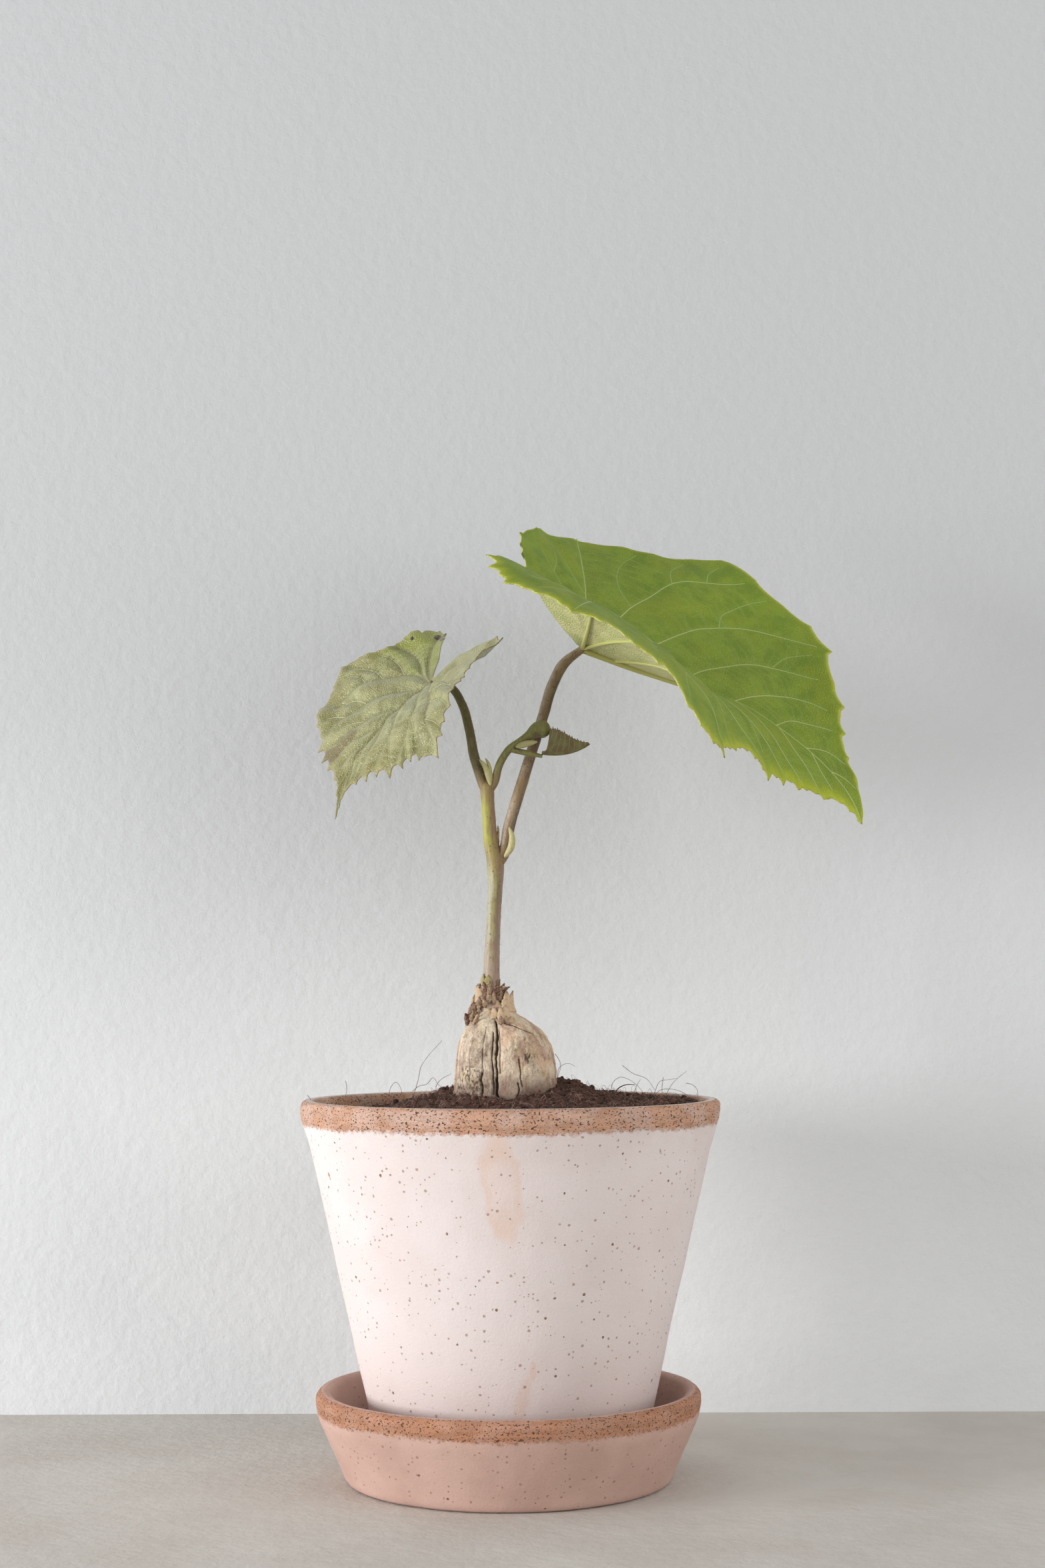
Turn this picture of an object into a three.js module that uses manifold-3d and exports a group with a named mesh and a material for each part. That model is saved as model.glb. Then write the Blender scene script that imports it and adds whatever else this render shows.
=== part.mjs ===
// A potted caudex plant: terracotta saucer and pot, soil, a swollen stem base and a climbing
// stem with one large leaf, one small leaf and a young folded leaf.
// Millimetres, +Z up. The origin is the middle of the saucer's underside, the front is -Y.
import * as THREE from 'three';
import { mergeVertices } from 'three/addons/utils/BufferGeometryUtils.js';
import Module from 'manifold-3d';

const wasm = await Module();
wasm.setup();

// Driving dimensions
const CLEARANCE = 0.3;
const SAUCER_RADIUS = 64;
const SAUCER_HEIGHT = 30;
const SAUCER_FLOOR = 5;
const POT_RADIUS = 70.8;
const POT_BASE_RADIUS = 43;
const POT_HEIGHT = 119.6;
const POT_OFFSET = 0.8;
const POT_WALL = 6;
const POT_FLOOR = 7;
const RIM_BAND = 7.5;
const DRAIN_RADIUS = 6;
const CAUDEX_RADIUS = 17.4;
const CAUDEX_CENTRE = -0.8;
const CAUDEX_BOTTOM = 102;
const BLADE_THICKNESS = 0.7;
const ROUND_SIDES = 56;

// Heights that follow from them
const POT_BOTTOM = SAUCER_FLOOR + CLEARANCE;
const POT_TOP = POT_BOTTOM + POT_HEIGHT;
const CROWN_HEIGHT = 162.6;
const STEM_FOOT = new THREE.Vector3(-5.4, 0, CROWN_HEIGHT - 4);

const turn = Math.PI * 2;
const radians = THREE.MathUtils.degToRad;
const vec = (x, y, z) => new THREE.Vector3(x, y, z);

function seededRandom(seed) {
  let state = seed;
  return () => {
    state = (state * 16807) % 2147483647;
    return state / 2147483647;
  };
}

function geometryFrom(points, triangles) {
  const geometry = new THREE.BufferGeometry();
  geometry.setAttribute('position', new THREE.Float32BufferAttribute(points.flatMap((p) => p.toArray()), 3));
  geometry.setIndex(triangles.flat());
  return geometry;
}

// A closed skin over rings of equal count, each ring turning anticlockwise seen from the last
// ring, with a fan over the first ring and one over the last.
function loft(rings) {
  const sides = rings[0].length;
  const points = rings.flat();
  const triangles = [];
  for (let i = 0; i + 1 < rings.length; i += 1) {
    for (let j = 0; j < sides; j += 1) {
      const a = i * sides + j;
      const b = i * sides + ((j + 1) % sides);
      triangles.push([a, b, b + sides], [a, b + sides, a + sides]);
    }
  }
  const middleOf = (ring) => ring.reduce((sum, p) => sum.add(p), vec(0, 0, 0)).divideScalar(sides);
  const first = points.push(middleOf(rings[0])) - 1;
  const last = points.push(middleOf(rings.at(-1))) - 1;
  const top = (rings.length - 1) * sides;
  for (let j = 0; j < sides; j += 1) {
    const k = (j + 1) % sides;
    triangles.push([first, k, j], [last, top + j, top + k]);
  }
  return geometryFrom(points, triangles);
}

// A round stalk through the points, whose radius runs through evenly spaced radii.
function stalk(points, radii, sides, steps) {
  const path = new THREE.CatmullRomCurve3(points);
  const frames = path.computeFrenetFrames(steps);
  const radiusAt = (t) => {
    const place = t * (radii.length - 1);
    const i = Math.min(Math.floor(place), radii.length - 2);
    return THREE.MathUtils.lerp(radii[i], radii[i + 1], place - i);
  };
  const rings = [];
  for (let i = 0; i <= steps; i += 1) {
    const middle = path.getPointAt(i / steps);
    const ring = [];
    for (let j = 0; j < sides; j += 1) {
      const angle = (j / sides) * turn;
      ring.push(
        middle
          .clone()
          .addScaledVector(frames.normals[i], Math.cos(angle) * radiusAt(i / steps))
          .addScaledVector(frames.binormals[i], Math.sin(angle) * radiusAt(i / steps)),
      );
    }
    rings.push(ring);
  }
  return loft(rings);
}

function toSolid(geometry) {
  const bare = geometry.clone();
  bare.deleteAttribute('normal');
  bare.deleteAttribute('uv');
  const merged = mergeVertices(bare, 1e-4);
  return new wasm.Manifold(
    new wasm.Mesh({
      numProp: 3,
      vertProperties: new Float32Array(merged.attributes.position.array),
      triVerts: new Uint32Array(merged.index.array),
    }),
  );
}

function fromSolid(solid) {
  const mesh = solid.getMesh();
  const geometry = new THREE.BufferGeometry();
  geometry.setAttribute('position', new THREE.Float32BufferAttribute(mesh.vertProperties, mesh.numProp));
  geometry.setIndex(new THREE.Uint32BufferAttribute(mesh.triVerts, 1));
  return geometry;
}

const fuse = (geometries) => geometries.map(toSolid).reduce((all, next) => all.add(next));

// Blades. Places on a blade are u along the midrib and v out from it, both in midrib lengths.
// v is positive on the left half, seen from above with the tip ahead.
const U_BACK = -0.35;
const U_MIDDLE = 0.3;
const U_TIP = 1;
const SPINE_STEP = 0.0125;

// A value that passes through one number at the blade's back, one a third along and one at its tip.
function along(u, [back, middle, tip]) {
  const atBack = ((u - U_MIDDLE) * (u - U_TIP)) / ((U_BACK - U_MIDDLE) * (U_BACK - U_TIP));
  const atMiddle = ((u - U_BACK) * (u - U_TIP)) / ((U_MIDDLE - U_BACK) * (U_MIDDLE - U_TIP));
  const atTip = ((u - U_BACK) * (u - U_MIDDLE)) / ((U_TIP - U_BACK) * (U_TIP - U_MIDDLE));
  return back * atBack + middle * atMiddle + tip * atTip;
}

// The midrib's direction, and the sideways and upward directions that roll about it.
function ribFrame(form, u) {
  const yaw = radians(along(u, form.yaw));
  const pitch = radians(along(u, form.pitch));
  const roll = radians(along(u, form.roll));
  const ahead = vec(Math.cos(pitch) * Math.cos(yaw), Math.cos(pitch) * Math.sin(yaw), Math.sin(pitch));
  const level = vec(-Math.sin(yaw), Math.cos(yaw), 0);
  const side = level.clone().applyAxisAngle(ahead, roll);
  return { ahead, side, up: ahead.clone().cross(side) };
}

// The midrib itself, summed up in small steps both ways from where the petiole joins.
function ribPoint(form, u) {
  const steps = Math.max(1, Math.ceil(Math.abs(u) / SPINE_STEP));
  const stride = u / steps;
  const point = form.at.clone();
  for (let i = 0; i < steps; i += 1) {
    point.addScaledVector(ribFrame(form, (i + 0.5) * stride).ahead, stride * form.length);
  }
  return point;
}

// Each half leaves the midrib at its own slope, runs straight for a while and then bends evenly.
function bladePoint(form, u, v) {
  const half = v > 0 ? form.left : form.right;
  const width = Math.abs(v);
  const slope = radians(along(u, half.slope));
  const bend = radians(along(u, half.bend)) || 1e-6;
  const straight = Math.min(width, Math.max(0, along(u, half.straight)));
  const curved = width - straight;
  const out = straight * Math.cos(slope) + (Math.sin(slope) - Math.sin(slope - bend * curved)) / bend;
  const rise = straight * Math.sin(slope) + (Math.cos(slope - bend * curved) - Math.cos(slope)) / bend;
  const { side, up } = ribFrame(form, u);
  const ripple = form.ripple * width * Math.sin(form.ripples * turn * u + (v > 0 ? 0 : 2));
  return ribPoint(form, u)
    .addScaledVector(side, Math.sign(v) * out * form.length)
    .addScaledVector(up, (rise + ripple) * form.length);
}

function bladeNormal(form, u, v) {
  const step = 0.01;
  const lengthwise = bladePoint(form, u + step, v).sub(bladePoint(form, u - step, v));
  const crosswise = bladePoint(form, u, v + step).sub(bladePoint(form, u, v - step));
  return lengthwise.cross(crosswise).normalize();
}

// The margin of one half from the notch at the back to the tip. Teeth lean towards the tip.
function marginOf(half, teeth, sign) {
  const outline = new THREE.SplineCurve(half.outline.map(([u, v]) => new THREE.Vector2(u, v)));
  const plain = [];
  const toothed = [];
  const place = (t, height) => {
    const point = outline.getPointAt(t);
    plain.push([point.x, sign * point.y]);
    point.setLength(point.length() + height);
    toothed.push([point.x, sign * point.y]);
  };
  const smoothSteps = 4;
  for (let i = 0; i < smoothSteps; i += 1) {
    place((i / smoothSteps) * teeth.from, 0);
  }
  for (let i = 0; i < teeth.count; i += 1) {
    const pitch = (1 - teeth.from) / teeth.count;
    const start = teeth.from + i * pitch;
    place(start, -0.4 * teeth.height);
    place(start + 0.7 * pitch, teeth.height * (0.6 + 0.4 * Math.sin(i * 2.4)));
  }
  return { plain, toothed };
}

// A blade fanned out from where the petiole joins, with both faces split into triangles alike.
function blade(form) {
  const left = marginOf(form.left, form.teeth, 1);
  const right = marginOf(form.right, form.teeth, -1);
  const tip = [[U_TIP, 0]];
  const join = (a, b) => [...b.slice(1), ...tip, ...a.slice().reverse()];
  const plain = join(left.plain, right.plain);
  const toothed = join(left.toothed, right.toothed);
  const count = plain.length;
  const places = [[0, 0]];
  form.rings.forEach((share, i) => {
    const ring = i === form.rings.length - 1 ? toothed : plain;
    ring.forEach(([u, v]) => places.push([u * share, v * share]));
  });
  const triangles = [];
  for (let j = 0; j < count; j += 1) {
    const k = (j + 1) % count;
    triangles.push([0, 1 + j, 1 + k]);
    for (let i = 0; i + 1 < form.rings.length; i += 1) {
      const inner = 1 + i * count;
      const outer = inner + count;
      triangles.push([inner + j, outer + j, outer + k], [inner + j, outer + k, inner + k]);
    }
  }
  const thickness = form.thickness ?? BLADE_THICKNESS;
  const middle = places.map(([u, v]) => bladePoint(form, u, v));
  const normals = places.map(([u, v]) => bladeNormal(form, u, v));
  const upper = middle.map((p, i) => p.clone().addScaledVector(normals[i], thickness / 2));
  const lower = middle.map((p, i) => p.clone().addScaledVector(normals[i], -thickness / 2));
  const total = places.length;
  const under = triangles.map(([a, b, c]) => [a + total, c + total, b + total]);
  const edge = [];
  const rim = 1 + (form.rings.length - 1) * count;
  for (let j = 0; j < count; j += 1) {
    const a = rim + j;
    const b = rim + ((j + 1) % count);
    edge.push([a, a + total, b + total], [a, b + total, b]);
  }
  return geometryFrom([...upper, ...lower], [...triangles, ...under, ...edge]);
}

// The large leaf: its far half stands up behind the midrib, its near half rolls over forwards.
const LARGE_LEAF = {
  at: vec(26.4, 3.9, 278.6),
  length: 118,
  yaw: [12, 4, -5],
  pitch: [-44, -19, -73],
  roll: [8, 8, 43],
  ripple: 0.006,
  ripples: 5,
  rings: [0.12, 0.26, 0.42, 0.58, 0.76, 1],
  teeth: { count: 26, from: 0.2, height: 0.016 },
  left: {
    slope: [50, 37, 28],
    bend: [48, -8, 8],
    straight: [0, 0, 0],
    outline: [
      [-0.02, 0], [-0.065, 0.04], [-0.185, 0.13], [-0.285, 0.218], [-0.37, 0.32], [-0.33, 0.44],
      [-0.215, 0.52], [-0.02, 0.58], [0.2, 0.6], [0.35, 0.63], [0.45, 0.525], [0.59, 0.415], [0.67, 0.27],
      [0.785, 0.1], [0.9, 0.04], [1, 0],
    ],
  },
  right: {
    slope: [26, 4, -30],
    bend: [191, 91, 105],
    straight: [0.09, 0.24, 0.04],
    outline: [
      [-0.02, 0], [-0.07, 0.045], [-0.19, 0.142], [-0.305, 0.25], [-0.375, 0.328], [-0.34, 0.43],
      [-0.22, 0.51], [-0.03, 0.575], [0.19, 0.6], [0.39, 0.625], [0.475, 0.5], [0.55, 0.37],
      [0.675, 0.265], [0.8, 0.14], [0.915, 0.04], [1, 0],
    ],
  },
};

// The small leaf faces forwards, with its tail hanging and one back lobe held out to the right.
const SMALL_LEAF = {
  at: vec(-26.5, 3.4, 266.5),
  length: 60,
  yaw: [196, 198, 209],
  pitch: [-51, -44, -87],
  roll: [-30, -30, -45],
  ripple: 0.02,
  ripples: 4,
  rings: [0.2, 0.4, 0.6, 0.82, 1],
  teeth: { count: 19, from: 0.17, height: 0.022 },
  left: {
    slope: [9, 28, -10],
    bend: [-56, 68, 51],
    straight: [0.05, 0.05, 0.05],
    outline: [
      [-0.04, 0], [-0.08, 0.025], [-0.2, 0.075], [-0.32, 0.185], [-0.37, 0.31], [-0.32, 0.42], [-0.2, 0.48],
      [-0.02, 0.47], [0.18, 0.56], [0.43, 0.58], [0.51, 0.44], [0.62, 0.33], [0.69, 0.19], [0.79, 0.08],
      [0.89, 0.025], [1, 0],
    ],
  },
  right: {
    slope: [-16, 2, -17],
    bend: [-132, 3, 116],
    straight: [0.14, 0.05, 0.06],
    outline: [
      [-0.03, 0], [-0.05, 0.035], [-0.14, 0.11], [-0.24, 0.2], [-0.34, 0.3], [-0.33, 0.4], [-0.22, 0.47],
      [-0.02, 0.5], [0.16, 0.62], [0.42, 0.56], [0.51, 0.46], [0.61, 0.33], [0.69, 0.19], [0.77, 0.07],
      [0.88, 0.02], [1, 0],
    ],
  },
};

// The young leaf is still folded along its midrib, its two toothed margins side by side on top.
const YOUNG_LEAF = {
  at: vec(12.2, -5, 240.9),
  length: 16.5,
  yaw: [-4, -4, -4],
  pitch: [-20, 2, 36],
  roll: [0, 0, 0],
  fold: 68,
  thickness: 0.6,
  keel: 0.5,
  outline: [
    [-0.02, 0.04], [0.1, 0.06], [0.2, 0.21], [0.26, 0.42], [0.4, 0.49], [0.6, 0.43], [0.8, 0.23], [0.98, 0.03],
  ],
  teeth: { count: 9, from: 0.3, height: 0.035 },
};

// A folded blade, as rings across it: up one half's outside, down its inside into the fold, and
// the same on the other half, with a blunt keel under the midrib. Its teeth point straight up.
function foldedBlade(form) {
  const slope = radians(form.fold);
  const wall = form.thickness / 2;
  const { plain, toothed } = marginOf(form, form.teeth, 1);
  const height = ([u, v], i) => v + Math.hypot(...toothed[i]) - Math.hypot(u, v);
  const margin = [...plain.map((place, i) => [place[0], height(place, i)]), form.outline.at(-1)];
  const rings = margin.map(([u, v]) => {
    const reach = v * form.length;
    const [across, rise] = [reach * Math.cos(slope), reach * Math.sin(slope)];
    const outer = [across + wall * Math.sin(slope), rise - wall * Math.cos(slope)];
    const inner = [Math.max(0.06, across - wall * Math.sin(slope)), rise + wall * Math.cos(slope)];
    const crease = [0, Math.min(wall / Math.cos(slope), 0.6 * inner[1])];
    const half = [[wall, -0.4 * form.keel], outer, inner];
    const section = [[0, -form.keel], ...half, crease, ...half.toReversed().map(([x, z]) => [-x, z])];
    const { side, up } = ribFrame(form, u);
    const middle = ribPoint(form, u);
    return section.map(([x, z]) => middle.clone().addScaledVector(side, x).addScaledVector(up, z));
  });
  return loft(rings);
}

// A stipule or a dry scale: a short pointed blade, hollow on the side that faces the stem.
const SCALE_HALF = {
  slope: [35, 30, 20],
  bend: [0, 0, 0],
  straight: [0, 0, 0],
  outline: [[-0.08, 0], [0, 0.14], [0.3, 0.22], [0.7, 0.15], [1, 0]],
};

function scale(at, length, yaw, pitch) {
  return blade({
    at,
    length,
    yaw: [yaw, yaw, yaw],
    pitch,
    roll: [0, 0, 0],
    ripple: 0,
    ripples: 1,
    thickness: 0.7,
    rings: [0.5, 1],
    teeth: { count: 3, from: 0.4, height: 0 },
    left: SCALE_HALF,
    right: SCALE_HALF,
  });
}

function makeSaucer() {
  const profile = [
    [0, 0], [SAUCER_RADIUS - 17, 0], [SAUCER_RADIUS - 12.6, 1.1], [SAUCER_RADIUS - 9.2, 3.6],
    [SAUCER_RADIUS - 6.6, 7.6], [SAUCER_RADIUS - 4.6, 13], [SAUCER_RADIUS - 2, 22],
    [SAUCER_RADIUS - 0.2, SAUCER_HEIGHT - 3.4], [SAUCER_RADIUS, SAUCER_HEIGHT - 1.8],
    [SAUCER_RADIUS - 1.2, SAUCER_HEIGHT - 0.4], [SAUCER_RADIUS - 3, SAUCER_HEIGHT],
    [SAUCER_RADIUS - 4.8, SAUCER_HEIGHT - 0.8], [SAUCER_RADIUS - 5.6, SAUCER_HEIGHT - 3],
    [SAUCER_RADIUS - 11, SAUCER_FLOOR + 3], [SAUCER_RADIUS - 14, SAUCER_FLOOR], [0, SAUCER_FLOOR],
  ];
  return new THREE.LatheGeometry(
    profile.map(([r, z]) => new THREE.Vector2(r, z)),
    ROUND_SIDES,
  ).rotateX(Math.PI / 2);
}

// The pot's outer radius at a height: a straight taper under an upright rim band.
function potRadius(z) {
  const bandFoot = POT_TOP - RIM_BAND;
  if (z >= bandFoot) {
    return POT_RADIUS;
  }
  return THREE.MathUtils.mapLinear(z, POT_BOTTOM, bandFoot, POT_BASE_RADIUS, POT_RADIUS - 1.6);
}

// The inner wall's radius, one straight taper from the floor to the rim.
function potInside(z) {
  return THREE.MathUtils.mapLinear(z, POT_BOTTOM, POT_TOP, POT_BASE_RADIUS, POT_RADIUS) - POT_WALL;
}

function makePot() {
  const bandFoot = POT_TOP - RIM_BAND;
  const floor = POT_BOTTOM + POT_FLOOR;
  const profile = [
    [DRAIN_RADIUS, POT_BOTTOM], [POT_BASE_RADIUS - 1.5, POT_BOTTOM],
    [POT_BASE_RADIUS + 0.4, POT_BOTTOM + 1.8], [potRadius(bandFoot - 0.8), bandFoot - 0.8],
    [POT_RADIUS, bandFoot], [POT_RADIUS, POT_TOP - 1.8], [POT_RADIUS - 0.9, POT_TOP - 0.4],
    [POT_RADIUS - 2.4, POT_TOP], [POT_RADIUS - 4.6, POT_TOP - 0.2], [potInside(POT_TOP - 1.6), POT_TOP - 1.6],
    [potInside(floor + 5), floor + 5], [potInside(floor) - 5, floor], [DRAIN_RADIUS, floor],
    [DRAIN_RADIUS, POT_BOTTOM],
  ];
  return new THREE.LatheGeometry(
    profile.map(([r, z]) => new THREE.Vector2(r, z)),
    ROUND_SIDES,
  )
    .rotateX(Math.PI / 2)
    .translate(POT_OFFSET, 0, 0);
}

// The soil rises from the wall to a mound behind the caudex, a little higher on the right.
function soilHeight(x, y) {
  const mound = 10 * Math.exp(-(x ** 2 + (y - 8) ** 2) / 1300);
  const lumps = 0.6 * Math.sin(x / 5.3 + 1) * Math.cos(y / 6.1) + 0.4 * Math.sin((x + y) / 2.9);
  return 120.4 + mound + lumps + 0.04 * x;
}

// A root fibre that comes out of the soil and curls over, sunk 2 mm deep at both ends.
function rootFibre(angle, distance, reach, height, heading) {
  const foot = vec(distance * Math.cos(angle) + CAUDEX_CENTRE, distance * Math.sin(angle), 0);
  const end = foot.clone().add(vec(reach * Math.cos(heading), reach * Math.sin(heading), 0));
  const rise = foot.clone().lerp(end, 0.25);
  const fall = foot.clone().lerp(end, 0.7);
  foot.setZ(soilHeight(foot.x, foot.y) - 2);
  end.setZ(soilHeight(end.x, end.y) - 2);
  rise.setZ(soilHeight(rise.x, rise.y) + height);
  fall.setZ(soilHeight(fall.x, fall.y) + 0.7 * height);
  return stalk([foot, rise, fall, end], [0.5, 0.45, 0.4], 5, 8);
}

function makeSoil() {
  const bottom = POT_BOTTOM + POT_FLOOR + CLEARANCE;
  const sides = 40;
  const ringAt = (radius, heightOf, centre) =>
    Array.from({ length: sides }, (_, j) => {
      const angle = (j / sides) * turn;
      const x = radius * Math.cos(angle) + centre;
      const y = radius * Math.sin(angle);
      return vec(x, y, heightOf(x, y));
    });
  const edge = potInside(117) - 2 * CLEARANCE;
  const hole = CAUDEX_RADIUS + 2 * CLEARANCE;
  const rings = [
    ringAt(potInside(bottom) - 6, () => bottom, POT_OFFSET),
    ringAt(potInside(bottom + 6) - 2 * CLEARANCE, () => bottom + 6, POT_OFFSET),
    ringAt(edge, soilHeight, POT_OFFSET),
  ];
  const across = 5;
  for (let i = 1; i <= across; i += 1) {
    const share = i / across;
    const centre = THREE.MathUtils.lerp(POT_OFFSET, CAUDEX_CENTRE, share);
    rings.push(ringAt(THREE.MathUtils.lerp(edge, hole, share), soilHeight, centre));
  }
  rings.push(ringAt(hole, () => CAUDEX_BOTTOM - CLEARANCE, CAUDEX_CENTRE));
  const random = seededRandom(41);
  const fibres = [];
  for (let i = 0; i < 9; i += 1) {
    const angle = -1.1 + (i / 9) * turn * 0.8;
    const heading = angle + 1.7 + 0.7 * random();
    fibres.push(rootFibre(angle, 28 + 12 * random(), 11 + 5 * random(), 2 + 3 * random(), heading));
  }
  return fromSolid(fuse([loft(rings), ...fibres]));
}

// The caudex: a barrel whose crown leans left to the stem, with one deep groove in front.
const CAUDEX_PROFILE = [
  [CAUDEX_BOTTOM, 9, 0], [108, 15.5, 0], [118, 17, 0], [128, 17.3, 0], [133, 17.3, 0], [138, 16.8, -0.2],
  [143, 15.6, -0.5], [147.5, 13.3, -1.1], [151, 9.9, -2.2], [154.5, 6.6, -4], [158, 4.9, -4.7],
  [160.8, 4.4, -4.7], [CROWN_HEIGHT, 4.2, -4.6],
];
const GROOVE_ANGLE = radians(-101);

function makeCaudex() {
  const sides = 36;
  const rings = CAUDEX_PROFILE.map(([z, radius, lean]) =>
    Array.from({ length: sides }, (_, j) => {
      const even = (j / sides) * turn;
      const angle = GROOVE_ANGLE + even - 0.6 * Math.sin(even);
      const belowCrown = 1 - THREE.MathUtils.smoothstep(z, 149, 158);
      const aboveSoil = THREE.MathUtils.smoothstep(z, 124, 132) * belowCrown;
      const lobes = 1 + 0.025 * aboveSoil * (Math.cos(3 * angle + 1) + Math.sin(5 * angle) - 1.2);
      const groove = 2.6 * aboveSoil * Math.exp(-((even > Math.PI ? even - turn : even) ** 2) / 0.02);
      const reach = radius * lobes - groove;
      return vec(CAUDEX_CENTRE + lean + reach * Math.cos(angle), reach * Math.sin(angle), z);
    }),
  );
  const crown = STEM_FOOT.clone();
  const scales = [
    scale(vec(-11.8, -2.5, 151), 13, 0, [62, 74, 84]),
    scale(vec(-12.6, 1, 150), 9, 0, [80, 75, 62]),
    scale(vec(-8.2, -4.2, 156.5), 7.5, 200, [84, 88, 110]),
    scale(vec(-2.4, -3.6, 156.5), 5, 60, [70, 76, 90]),
    scale(vec(-6, 4, 156.5), 8, 90, [85, 88, 80]),
    scale(vec(-1.6, 2.5, 156.5), 5, 200, [70, 75, 90]),
  ];
  const socketRadius = 3 + CLEARANCE;
  const socket = new THREE.CylinderGeometry(socketRadius, socketRadius, 12, 16)
    .rotateX(Math.PI / 2)
    .translate(crown.x, crown.y, crown.z - CLEARANCE + 6);
  return fromSolid(fuse([loft(rings), ...scales]).subtract(toSolid(socket)));
}

// Where a petiole ends under its leaf, clear of the underside of the midrib.
function seatUnder(form, distance) {
  return form.at.clone().addScaledVector(ribFrame(form, 0).up, -distance);
}

function makeStem() {
  const main = stalk(
    [
      STEM_FOOT, vec(-5.4, 0, 167), vec(-4.5, 0, 188.4), vec(-4.1, 0, 204), vec(-5.6, 0, 212),
      vec(-6.1, 0, 219.4), vec(-6.7, 0, 229.6),
    ],
    [2.9, 2.8, 2.6, 2.45, 2.4, 2.4, 2.9, 2.5, 2.25, 2.2, 2.5],
    10,
    20,
  );
  const largePetiole = stalk(
    [
      vec(-4, 0, 203.4), vec(-1.3, 0.4, 207.4), vec(0.7, 0.8, 216.4), vec(6.2, 2, 235), vec(12.4, 3.2, 254.6),
      vec(16, 3.8, 266), vec(19.6, 4.1, 272.6), seatUnder(LARGE_LEAF, 1.5),
    ],
    [2.2, 2, 1.95, 1.9, 1.85, 1.85, 1.85, 1.8, 1],
    9,
    20,
  );
  const smallPetiole = stalk(
    [
      vec(-6.6, 0, 228), vec(-8.3, 0.4, 232), vec(-10.9, 1.4, 239.9), vec(-13, 3, 250.8),
      vec(-15.3, 5, 258.8), vec(-19.4, 6.6, 265), seatUnder(SMALL_LEAF, 1.5),
    ],
    [2, 1.75, 1.65, 1.6, 1.5, 1.4, 1],
    8,
    16,
  );
  const shoot = stalk(
    [
      vec(-6.6, 0, 228.4), vec(-4.6, -0.8, 231), vec(-2.4, -2, 237.6), vec(1.4, -3.5, 243),
      vec(4.4, -4.4, 245), vec(7.6, -5, 247), vec(10.4, -5, 248.8), vec(13.2, -5, 249.4),
    ],
    [1.7, 1.45, 1.35, 1.3, 1.15, 2.4, 1.1],
    8,
    16,
  );
  const shootKeel = stalk(
    [vec(1, -3.4, 242.4), vec(5.4, -4.4, 241.4), seatUnder(YOUNG_LEAF, 1.4)],
    [0.9, 1, 0.5],
    6,
    5,
  );
  const stipules = [
    scale(vec(-1.4, -2.2, 205.2), 12, 0, [40, 68, 122]),
    scale(vec(-4, 1.2, 208), 9, 0, [70, 80, 110]),
    scale(vec(-5.8, -1.8, 231), 10, 180, [80, 62, 50]),
    scale(vec(-5.6, -1.2, 231.6), 8, 0, [95, 85, 60]),
    scale(vec(3, -5, 243.6), 8.5, 5, [24, 10, -5]),
  ];
  return fromSolid(fuse([main, largePetiole, smallPetiole, shoot, shootKeel, ...stipules]));
}

const plant = new THREE.Group();

function addPiece(name, geometry, color, roughness) {
  const material = new THREE.MeshStandardMaterial({ color, roughness, metalness: 0 });
  const mesh = new THREE.Mesh(geometry, material);
  mesh.name = name;
  plant.add(mesh);
}

addPiece('saucer', makeSaucer(), 0xd9b4a4, 0.9);
addPiece('pot', makePot(), 0xe4d6cf, 0.92);
addPiece('soil', makeSoil(), 0x3b2a20, 1);
addPiece('caudex', makeCaudex(), 0xb59a78, 0.85);
addPiece('stem', makeStem(), 0x8a7a6a, 0.6);
addPiece('leaf_large', blade(LARGE_LEAF), 0x6f9a3e, 0.5);
addPiece('leaf_small', blade(SMALL_LEAF), 0x9fa67e, 0.6);
addPiece('leaf_young', foldedBlade(YOUNG_LEAF), 0x7d7a48, 0.55);

export default plant;
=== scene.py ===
import bpy
import numpy as np
from mathutils import Matrix


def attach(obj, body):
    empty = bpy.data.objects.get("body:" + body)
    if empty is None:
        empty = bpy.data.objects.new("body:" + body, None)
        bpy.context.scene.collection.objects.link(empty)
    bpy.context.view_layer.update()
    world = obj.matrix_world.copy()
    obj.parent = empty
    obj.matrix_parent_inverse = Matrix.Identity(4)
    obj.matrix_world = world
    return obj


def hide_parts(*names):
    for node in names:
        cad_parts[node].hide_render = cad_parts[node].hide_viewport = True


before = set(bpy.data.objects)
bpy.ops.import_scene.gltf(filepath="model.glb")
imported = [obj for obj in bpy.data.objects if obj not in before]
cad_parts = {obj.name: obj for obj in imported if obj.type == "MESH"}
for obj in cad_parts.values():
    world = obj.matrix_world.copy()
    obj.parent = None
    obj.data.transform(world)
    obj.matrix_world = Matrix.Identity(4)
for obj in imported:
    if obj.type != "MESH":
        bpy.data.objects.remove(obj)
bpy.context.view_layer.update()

# A potted caudex plant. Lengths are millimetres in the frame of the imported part: +X right, +Y away,
# +Z up, origin under the saucer. They become metres where a mesh is made.
MM = 0.001
TURN = 2 * np.pi

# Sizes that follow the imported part
SAUCER_RADIUS = 64.0
SAUCER_HEIGHT = 30.0
SAUCER_FLOOR = 5.0
POT_RADIUS = 70.8
POT_BASE_RADIUS = 43.0
POT_BOTTOM = 5.3
POT_TOP = 124.9
POT_OFFSET = 0.8
POT_WALL = 6.0
POT_FLOOR = 7.0
RIM_BAND = 7.5
DRAIN_RADIUS = 6.0
CAUDEX_RADIUS = 17.4
CAUDEX_CENTRE = -0.8
CAUDEX_BOTTOM = 102.0
CROWN_HEIGHT = 162.6
CLEARANCE = 0.3

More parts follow.
